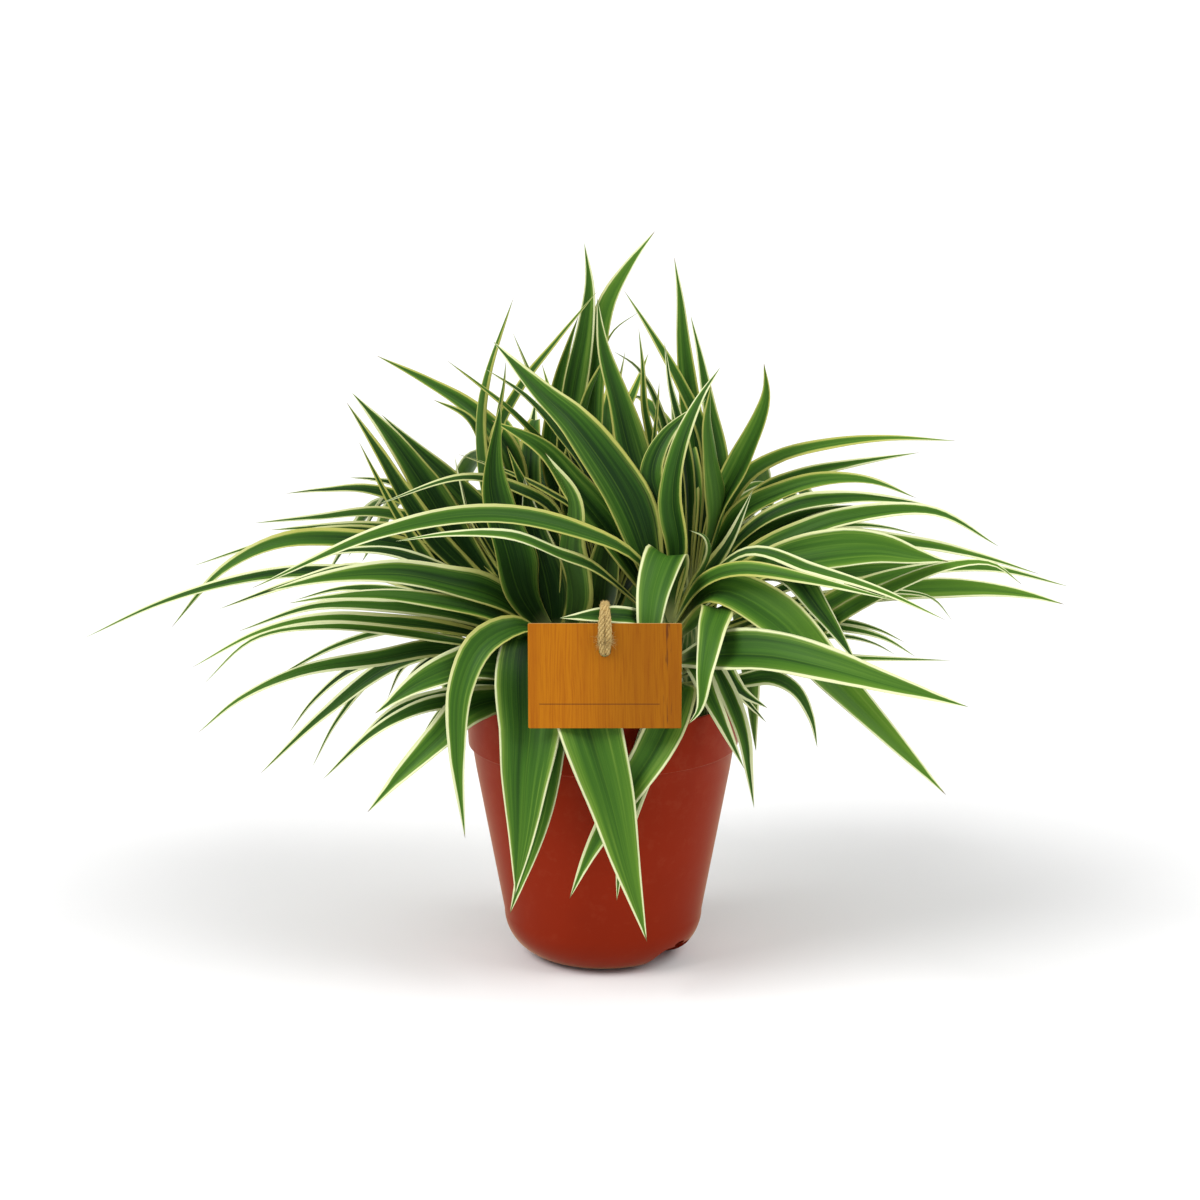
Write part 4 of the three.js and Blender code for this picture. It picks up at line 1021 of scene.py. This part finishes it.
def moulded_plastic(settings):
    """Satin terracotta plastic, with a faint cloud of colour, painted shade towards the bottom, pale specks
    crowded towards the rim as painted light, and fine mould marks.
    """
    finish = Finish("moulded plastic")
    place = finish.place()
    up = finish.parts(place)[2]
    share_up = up / POT_HIGH.z
    cloud = finish.grain(place, 38.0, 3.0)
    fine = finish.grain(place, 900.0)
    # painted shade: the terracotta darkens towards the bottom of the pot, mottled by the cloud
    darker = tuple(0.84 * c for c in settings.terracotta)
    coloured = finish.between(finish.step(cloud * 0.4 + share_up, 0.15, 0.7), darker, settings.terracotta)
    # pale specks of random tone, crowded towards the rim as painted light
    specks_and_rim_light = finish.step(finish.grain(place, 140.0, 4.0, 0.7) + share_up * 0.2, 0.6, 0.85)
    coloured = finish.between(specks_and_rim_light * 0.08, coloured, settings.dust)
    height = fine * 0.7 + (up * 5200).sin() * 0.12
    sheen = {"sheen_weight": 0.5, "sheen_roughness": 0.3, "sheen_tint": (1, 0.75, 0.45)}
    gloss = cloud * 0.12 + 0.42
    return finish.end(coloured, gloss, height, 0.00006, 0.35, specular_ior_level=0.05, **sheen)


def grained(name, low, high, scale, start, end, roughness, depth, strength):
    """A rough matter of two colours that mix in specks: its name, its colours, and how fine it is."""
    finish = Finish(name)
    specks = finish.grain(finish.place(), scale, 3.0, 0.7)
    coloured = finish.between(finish.step(specks, start, end), low, high)
    return finish.end(coloured, roughness, specks, depth, strength)


def loose_peat(settings):
    return grained("loose peat", settings.peat, settings.fibre, 600.0, 0.52, 0.7, 0.95, 0.0006, 0.8)


def jute_fibre(settings):
    return grained("jute fibre", settings.jute, settings.pale, 1400.0, 0.35, 0.68, 0.85, 0.00015, 0.8)


def pale_sheath(settings):
    """The crowded feet of the leaves: pale, with darker lines between them."""
    finish = Finish("pale sheath")
    x, y, z = finish.parts(finish.place())
    lines = finish.grain(finish.joined(x * 900, y * 900, z * 60))
    coloured = finish.between(finish.step(lines, 0.4, 0.7), settings.green, settings.sheath)
    return finish.end(coloured, 0.5, lines, depth=0.0003, strength=0.6)


def printed_wood(settings):
    """Card printed with an upright wood grain, worn in streaks near one side, with one ruled line, and
    painted shade towards its right side.
    """
    finish = Finish("printed wood")
    between, step, grain, joined = finish.between, finish.step, finish.grain, finish.joined
    x, y, z = finish.parts(finish.place())
    middle, half = (CARD_LOW.x + CARD_HIGH.x) / 2, (CARD_HIGH.x - CARD_LOW.x) / 2
    sideways = (x - middle) / half
    bent = x + grain(joined(x * 40, 0.0, z * 14)) * 0.006
    fine = grain(joined(bent * 1500, 0.0, z * 45), 1.0, 3.0, 0.6)
    broad = grain(joined(bent * 210, 0.0, z * 9))
    # painted shade: lit and shaded copies of each grain tone, the card darkening towards its right side
    shaded = step(sideways, -0.6, 0.4)
    tones = (settings.light, settings.dark)
    light, dark = (between(shaded, tone, tuple(0.74 * c for c in tone)) for tone in tones)
    coloured = between(step(broad, 0.4, 0.75) * 0.55, light, dark)
    coloured = between(step(fine, 0.42, 0.70) * 0.75, coloured, dark)
    near_side = step(sideways, 0.74, 0.80) * step(sideways, 0.90, 0.84)
    stained = near_side * step(grain(joined(x * 900, 3.0, z * 75)), 0.54, 0.66)
    coloured = between(stained * 0.85, coloured, settings.ink)
    above = z - (CARD_LOW.z + settings.line)
    ruled = step(abs(above), 0.00028, 0.00016) * step(abs(sideways + 0.07), 0.79, 0.78)
    coloured = between(ruled * (0.55 + 0.4 * fine), coloured, settings.ink)
    cut = step(abs(y - (CARD_LOW.y + CARD_HIGH.y) / 2), 0.00044, 0.00036)
    coloured = between(cut, coloured, settings.edge)
    return finish.end(coloured, fine * 0.15 + 0.48, fine, 0.00005, 0.3, specular_ior_level=0.1)


def matt_floor(settings):
    return Finish("matt floor").end(settings.floor, 0.8)


# ---------- the pot's form ----------
def pot_side(inset, steps):
    """The pot's bottom corner and wall up to under the band, moved inwards by inset."""
    corner = arc((FOOT_R - CORNER_R, CORNER_R), CORNER_R - inset, -90, 0, steps)
    wall_top = (SHOULDER_R - inset, POT_HIGH.z - BAND_HEIGHT - WALL_END)
    return [*corner[:-1], *stretch(corner[-1], wall_top, WALL_STEPS)]


def bars(name, outline, start, turn, up=0.0):
    """Cutters of this outline, evenly round the pot, that run outwards from the start."""
    made = []
    for place in range(RECESS["count"]):
        angle = math.radians(turn + 360 * place / RECESS["count"])
        sine, cosine = math.sin(angle), math.cos(angle)
        form = bmesh.new()
        ends = []
        for out in (start, POT_HIGH.x * 1.2):
            corners = [
                (side * cosine + out * sine, side * sine - out * cosine, z + up) for side, z in outline
            ]
            ends.append([form.verts.new(corner) for corner in corners])
            form.faces.new(ends[-1])
        near, far = ends
        for i in range(len(outline)):
            k = (i + 1) % len(outline)
            form.faces.new((near[i], near[k], far[k], far[i]))
        bmesh.ops.recalc_face_normals(form, faces=form.faces)
        made.append(added("cutter." + name, mesh_of(form, "cutter." + name)))
    return made


def recesses(grow):
    """Cutters for the drain recesses in the bottom corner, grown on every side."""
    half, top = RECESS["width"] / 2 + grow, RECESS["height"] + grow
    r = RECESS["corner"] + grow
    right, left = arc((half - r, top - r), r, 0, 90, 8), arc((r - half, top - r), r, 90, 180, 8)
    outline = [(-half, -top), (half, -top), *right, *left]
    return bars("recess", outline, FOOT_R - RECESS["depth"] - grow, RECESS["turn"])


def slots():
    """Cutters for the slots above the recesses."""
    angles = np.linspace(0, 2 * math.pi, 24, endpoint=False)
    outline = [(SLOT["width"] / 2 * math.cos(a), SLOT["height"] / 2 * math.sin(a)) for a in angles]
    return bars("slot", outline, FOOT_R / 2, SLOT["turn"], SLOT["up"])


def cut_away(source, *cutters):
    """Takes the cutters out of the source, by modifiers that plain() applies."""
    for cutter in cutters:
        cut = source.modifiers.new("cut", "BOOLEAN")
        cut.object = cutter
        cut.operation = "DIFFERENCE"
        cut.solver = "EXACT"


def clear_cutters():
    for cutter in [o for o in bpy.data.objects if o.name.startswith(("cutter.", "cavity."))]:
        bpy.data.objects.remove(cutter)


# ---------- operators ----------
class AddLeaves(bpy.types.Operator):
    """Build the blades of every crown, and the short stems that they grow from"""

    bl_idname = "plant.add_leaves"
    bl_label = "Leaves"

    def execute(self, context):
        settings = context.scene.plant_leaves
        material = striped_leaf(settings)
        tree = blade_shaper()
        draws = random.Random(SEED)
        leaves = standing_leaves()
        fold = math.tan(math.radians(BLADE["fold"]))
        values = {"sides": settings.sides, "fold": fold, "ripple": settings.ripple, "material": material}
        for crown in CROWNS:
            own = [leaf for leaf in leaves if leaf["crown"] == crown]
            midribs = blade_lines(own, settings.stations, draws)
            mesh = facing_out(shaped("leaves_" + crown, midribs, tree, **values))
            placed("leaves_" + crown, mesh, material, "striped_leaf", "crown_" + crown)
        self.add_stems(pale_sheath(settings))
        return {"FINISHED"}

    def add_stems(self, material):
        """Short ribbed stems with round tops, sunk into the soil."""
        foot_r, top_r = STEM["foot_r"], STEM["top_r"]
        low, soil = SOIL_TOP - STEM["sunk"], SOIL_TOP + STEM["collar"]
        for crown, (x, y, top) in CROWNS.items():
            tip = arc((0, top - top_r), top_r, 0, 90, 5)[:-1]
            section = [(0, low), (foot_r, low), (foot_r, soil), *tip, (0, top)]
            section = [(r * MM, z * MM) for r, z in section]
            parts = [point for a, b in zip(section, section[1:]) for point in stretch(a, b, STEM["steps"])]
            mesh = turned([*parts, section[-1]], STEM["sides"], self.ribbed)
            for vertex in mesh.vertices:
                vertex.co += Vector((x, y, 0)) * MM
            placed("stem_" + crown, mesh, material, "striped_leaf")

    def ribbed(self, angle, z):
        """The ribs of the sheaths, which wind slowly round the stem."""
        return 0.94 + 0.06 * abs(math.cos(angle * STEM["ribs"] / 2 + z * STEM["wind"]))


class AddPot(bpy.types.Operator):
    """Build the nursery pot with its rim band, round bottom corner, drain recesses and slots"""

    bl_idname = "plant.add_pot"
    bl_label = "Pot"

    def execute(self, context):
        settings = context.scene.plant_pot
        lip = settings.lip
        height, rim_r = POT_HIGH.z, POT_HIGH.x
        band_z = height - BAND_HEIGHT
        shoulder = [(SHOULDER_R + out, band_z + up) for out, up in SHOULDER]
        band = arc((BAND_R - lip, band_z + lip), lip, -90, 0, 4)
        rim = arc((rim_r - lip, height - lip), lip, 0, 90, 5)
        outside = [(0, 0), *pot_side(0, CORNER_STEPS), *shoulder, *band, *rim, (0, height)]
        mouth = arc((rim_r - WALL + lip, height - lip), lip, 180, 90, 4)
        inside = [(0, WALL), *pot_side(WALL, CORNER_STEPS_INSIDE), (SHOULDER_R - WALL, band_z), *mouth]
        inside += [(rim_r, height + lip), (0, height + lip)]
        cavity = added("cavity", turned(inside, settings.sides))
        kept = added("pot.source", turned(outside, settings.sides))
        cut_away(cavity, *recesses(WALL))
        inner = added("cavity.cut", plain("cavity", cavity))
        cut_away(kept, inner, *recesses(0), *slots())
        mesh = facing_out(plain("nursery_pot", kept))
        mesh.set_sharp_from_angle(angle=math.radians(SHARP))
        clear_cutters()
        placed("nursery_pot", mesh, moulded_plastic(settings), "pot_plastic", "pot")
        return {"FINISHED"}


class AddSoil(bpy.types.Operator):
    """Fill the pot with potting soil and scatter crumbs over it"""

    bl_idname = "plant.add_soil"
    bl_label = "Soil"

    def execute(self, context):
        settings = context.scene.plant_soil
        material = loose_peat(settings)
        edge_r, top = SOIL_HIGH.x, SOIL_HIGH.z
        side = pot_side(WALL + SOIL_GAP, SOIL_STEPS)[: SOIL_STEPS + 1]  # as far as the corner's top
        surface = [(r, top - SOIL_FALL * (r / edge_r) ** 2) for r in np.linspace(edge_r, 0, 30)[:-1]]
        section = [(0, side[0][1]), *side, *surface, (0, top)]
        source = added("soil.source", turned(section, 128))
        cut_away(source, *recesses(WALL + SOIL_GAP))
        mesh = facing_out(plain("potting_soil_body", source))
        clear_cutters()
        for vertex in mesh.vertices:
            place = vertex.co
            if place.z > top - SOIL_LUMPS["deep"] and place.xy.length < edge_r - SOIL_LUMPS["edge"]:
                lumps = noise.fractal(place * SOIL_LUMPS["crowding"], 0.7, 2.0, 4)
                place.z += SOIL_LUMPS["height"] * lumps
        placed("potting_soil_body", mesh, material, "potting_soil", "potting_soil")

        form = bmesh.new()
        form.from_mesh(mesh)
        deep, edge = top - CRUMBS["deep"], edge_r - CRUMBS["edge"]
        buried = [vertex for vertex in form.verts if vertex.co.z < deep or vertex.co.xy.length > edge]
        bmesh.ops.delete(form, geom=buried, context="VERTS")
        values = {"radius": settings.crumb, "crowding": settings.crowding, "material": material}
        crumbs = shaped("soil_crumbs", mesh_of(form, "crust"), crumb_shaper(), seed=SEED, **values)
        placed("soil_crumbs", crumbs, material, "potting_soil")
        return {"FINISHED"}


class AddCard(bpy.types.Operator):
    """Cut the card tag with its hole"""

    bl_idname = "plant.add_card"
    bl_label = "Card Tag"

    def execute(self, context):
        bevel, corner = CARD["bevel"], CARD["corner"]
        half_x, half_z = (CARD_HIGH.x - CARD_LOW.x) / 2, (CARD_HIGH.z - CARD_LOW.z) / 2
        outline = [
            point
            for sx, sz, start in ((1, 1, 0), (-1, 1, 90), (-1, -1, 180), (1, -1, 270))
            for point in arc((sx * (half_x - corner), sz * (half_z - corner)), corner, start, start + 90, 5)
        ]
        hole = arc((0, half_z - CARD["hole_drop"]), CARD["hole_r"], 0, 360, 48)[:-1]
        curve = bpy.data.curves.new("card", "CURVE")
        curve.dimensions = "2D"
        curve.fill_mode = "BOTH"
        curve.extrude = (CARD_HIGH.y - CARD_LOW.y) / 2 - bevel
        curve.bevel_depth = bevel
        curve.bevel_resolution = 2
        curve.offset = -bevel
        for points in (outline, hole):
            line = curve.splines.new("POLY")
            line.points.add(len(points) - 1)
            for point, (x, z) in zip(line.points, points):
                point.co = (x, z, 0, 1)
            line.use_cyclic_u = True
        mesh = plain("card_tag_print", added("card.source", curve))
        centre = (CARD_LOW + CARD_HIGH) / 2
        for vertex in mesh.vertices:
            x, z, y = vertex.co
            vertex.co = centre + Vector((x, -y, z))
        material = printed_wood(context.scene.plant_card)
        placed("card_tag_print", facing_out(mesh), material, "printed_card", "card_tag")
        return {"FINISHED"}


class AddTwine(bpy.types.Operator):
    """Lay the twine loop through the card's hole and round the leaf that carries it"""

    bl_idname = "plant.add_twine"
    bl_label = "Twine"

    def execute(self, context):
        settings = context.scene.plant_twine
        material = jute_fibre(settings)
        steps = TWINE["steps"]
        half = TWINE["strand"] / 2
        low_y, high_y = TWINE_LOW.y + half, TWINE_HIGH.y - half
        low_z, high_z = TWINE_LOW.z + half - TWINE["sag"], TWINE_HIGH.z - half
        r = TWINE["corner"] + half
        ys, zs = (high_y - r, low_y + r), (high_z - r, low_z + r)
        corners = ((ys[0], zs[0], 0), (ys[1], zs[0], 90), (ys[1], zs[1], 180), (ys[0], zs[1], 270))
        path = [point for y, z, start in corners for point in arc((y, z), r, start, start + 90, 6)]
        closed = np.array([*path, path[0]])
        reached = lengths_along(closed)
        where = np.linspace(0, reached[-1], steps, endpoint=False)
        y, z = (np.interp(where, reached, closed[:, k]) for k in range(2))
        height = (z - low_z) / (high_z - low_z)
        low_end = np.clip(height / 0.3, 0, 1)
        apart = TWINE["apart"] * (1 - 0.55 * height ** 4) * (0.6 + 0.4 * low_end)
        middle = (TWINE_LOW.x + TWINE_HIGH.x) / 2
        lines = [
            (np.stack([np.full(steps, middle) + side * apart, y, z], axis=1), True) for side in (-1, 1)
        ]
        at_hole = (y < low_y + FRAY["depth"]) & (abs(height - FRAY["height"]) < FRAY["reach"])
        marks = {
            "round": where / reached[-1],
            "fullness": (1 - 0.2 * height ** 4) * (0.75 + 0.25 * low_end),
            "fray": np.where(at_hole, FRAY["much"], FRAY["little"]),
        }
        loops = polyline("twine.line", lines, **{key: np.tile(values, 2) for key, values in marks.items()})
        values = {"plies": settings.plies, "ply_radius": settings.ply, "lay": settings.ply * TWINE["lay"]}
        values |= {"turns": float(settings.turns), "hair": settings.hair}
        mesh = shaped("twine_strands", loops, twine_shaper(), seed=SEED, material=material, **values)
        placed("twine_strands", mesh, material, "jute_twine", "twine_loop")
        return {"FINISHED"}


class SetStage(bpy.types.Operator):
    """Set the floor, the soft lights and the camera"""

    bl_idname = "plant.set_stage"
    bl_label = "Stage"

    def execute(self, context):
        settings = context.scene.plant_stage
        form = bmesh.new()
        bmesh.ops.create_grid(form, x_segments=1, y_segments=1, size=FLOOR_HALF)
        mesh = mesh_of(form, "floor")
        mesh.materials.append(matt_floor(settings))
        added("floor", mesh)
        self.add_camera(context)
        for name, place in LIGHTS.items():
            self.add_light(name, Vector(place), getattr(settings, name))
        world = bpy.data.worlds.new("sky")
        world.use_nodes = True
        background = world.node_tree.nodes["Background"]
        background.inputs["Color"].default_value = (1, 1, 1, 1)
        background.inputs["Strength"].default_value = settings.sky
        context.scene.world = world
        context.scene.view_settings.view_transform = "Standard"
        return {"FINISHED"}

    def add_camera(self, context):
        data = bpy.data.cameras.new("camera")
        data.lens = EYE_LENS
        data.sensor_width = EYE_SENSOR
        data.clip_start = CLIP_START
        camera = added("camera", data)
        camera.location = Vector(EYE * MM)
        camera.rotation_euler = (math.radians(90 - EYE_DOWN), 0, 0)
        context.scene.camera = camera

    def add_light(self, name, place, strength):
        """A soft light from far off on this side, so that the floor is evenly lit."""
        data = bpy.data.lights.new(name, "SUN")
        data.angle = math.radians(LIGHT_ANGLE)
        data.energy = strength
        light = added(name, data)
        light.location = place
        light.rotation_mode = "QUATERNION"
        light.rotation_quaternion = (-place).to_track_quat("-Z", "Y")


OPERATORS = (AddLeaves, AddPot, AddSoil, AddCard, AddTwine, SetStage)


class PlantPanel(bpy.types.Panel):
    """The plant's pieces and their settings"""

    bl_idname = "VIEW3D_PT_spider_plant"
    bl_label = "Spider Plant"
    bl_space_type = "VIEW_3D"
    bl_region_type = "UI"
    bl_category = "Spider Plant"

    def draw(self, context):
        for operator, name in zip(OPERATORS, SETTINGS):
            box = self.layout.box()
            box.operator(operator.bl_idname)
            settings = getattr(context.scene, name)
            for key in settings.bl_rna.properties.keys():
                if key not in ("rna_type", "name"):
                    box.prop(settings, key)


CLASSES = (*SETTINGS.values(), *OPERATORS, PlantPanel)


def register():
    for cls in CLASSES:
        bpy.utils.register_class(cls)
    for name, group in SETTINGS.items():
        setattr(bpy.types.Scene, name, bpy.props.PointerProperty(type=group))


def unregister():
    for name in SETTINGS:
        delattr(bpy.types.Scene, name)
    for cls in reversed(CLASSES):
        bpy.utils.unregister_class(cls)


def main():
    register()
    for operator in OPERATORS:
        group, name = operator.bl_idname.split(".")
        getattr(getattr(bpy.ops, group), name)()


if __name__ == "__main__":
    main()
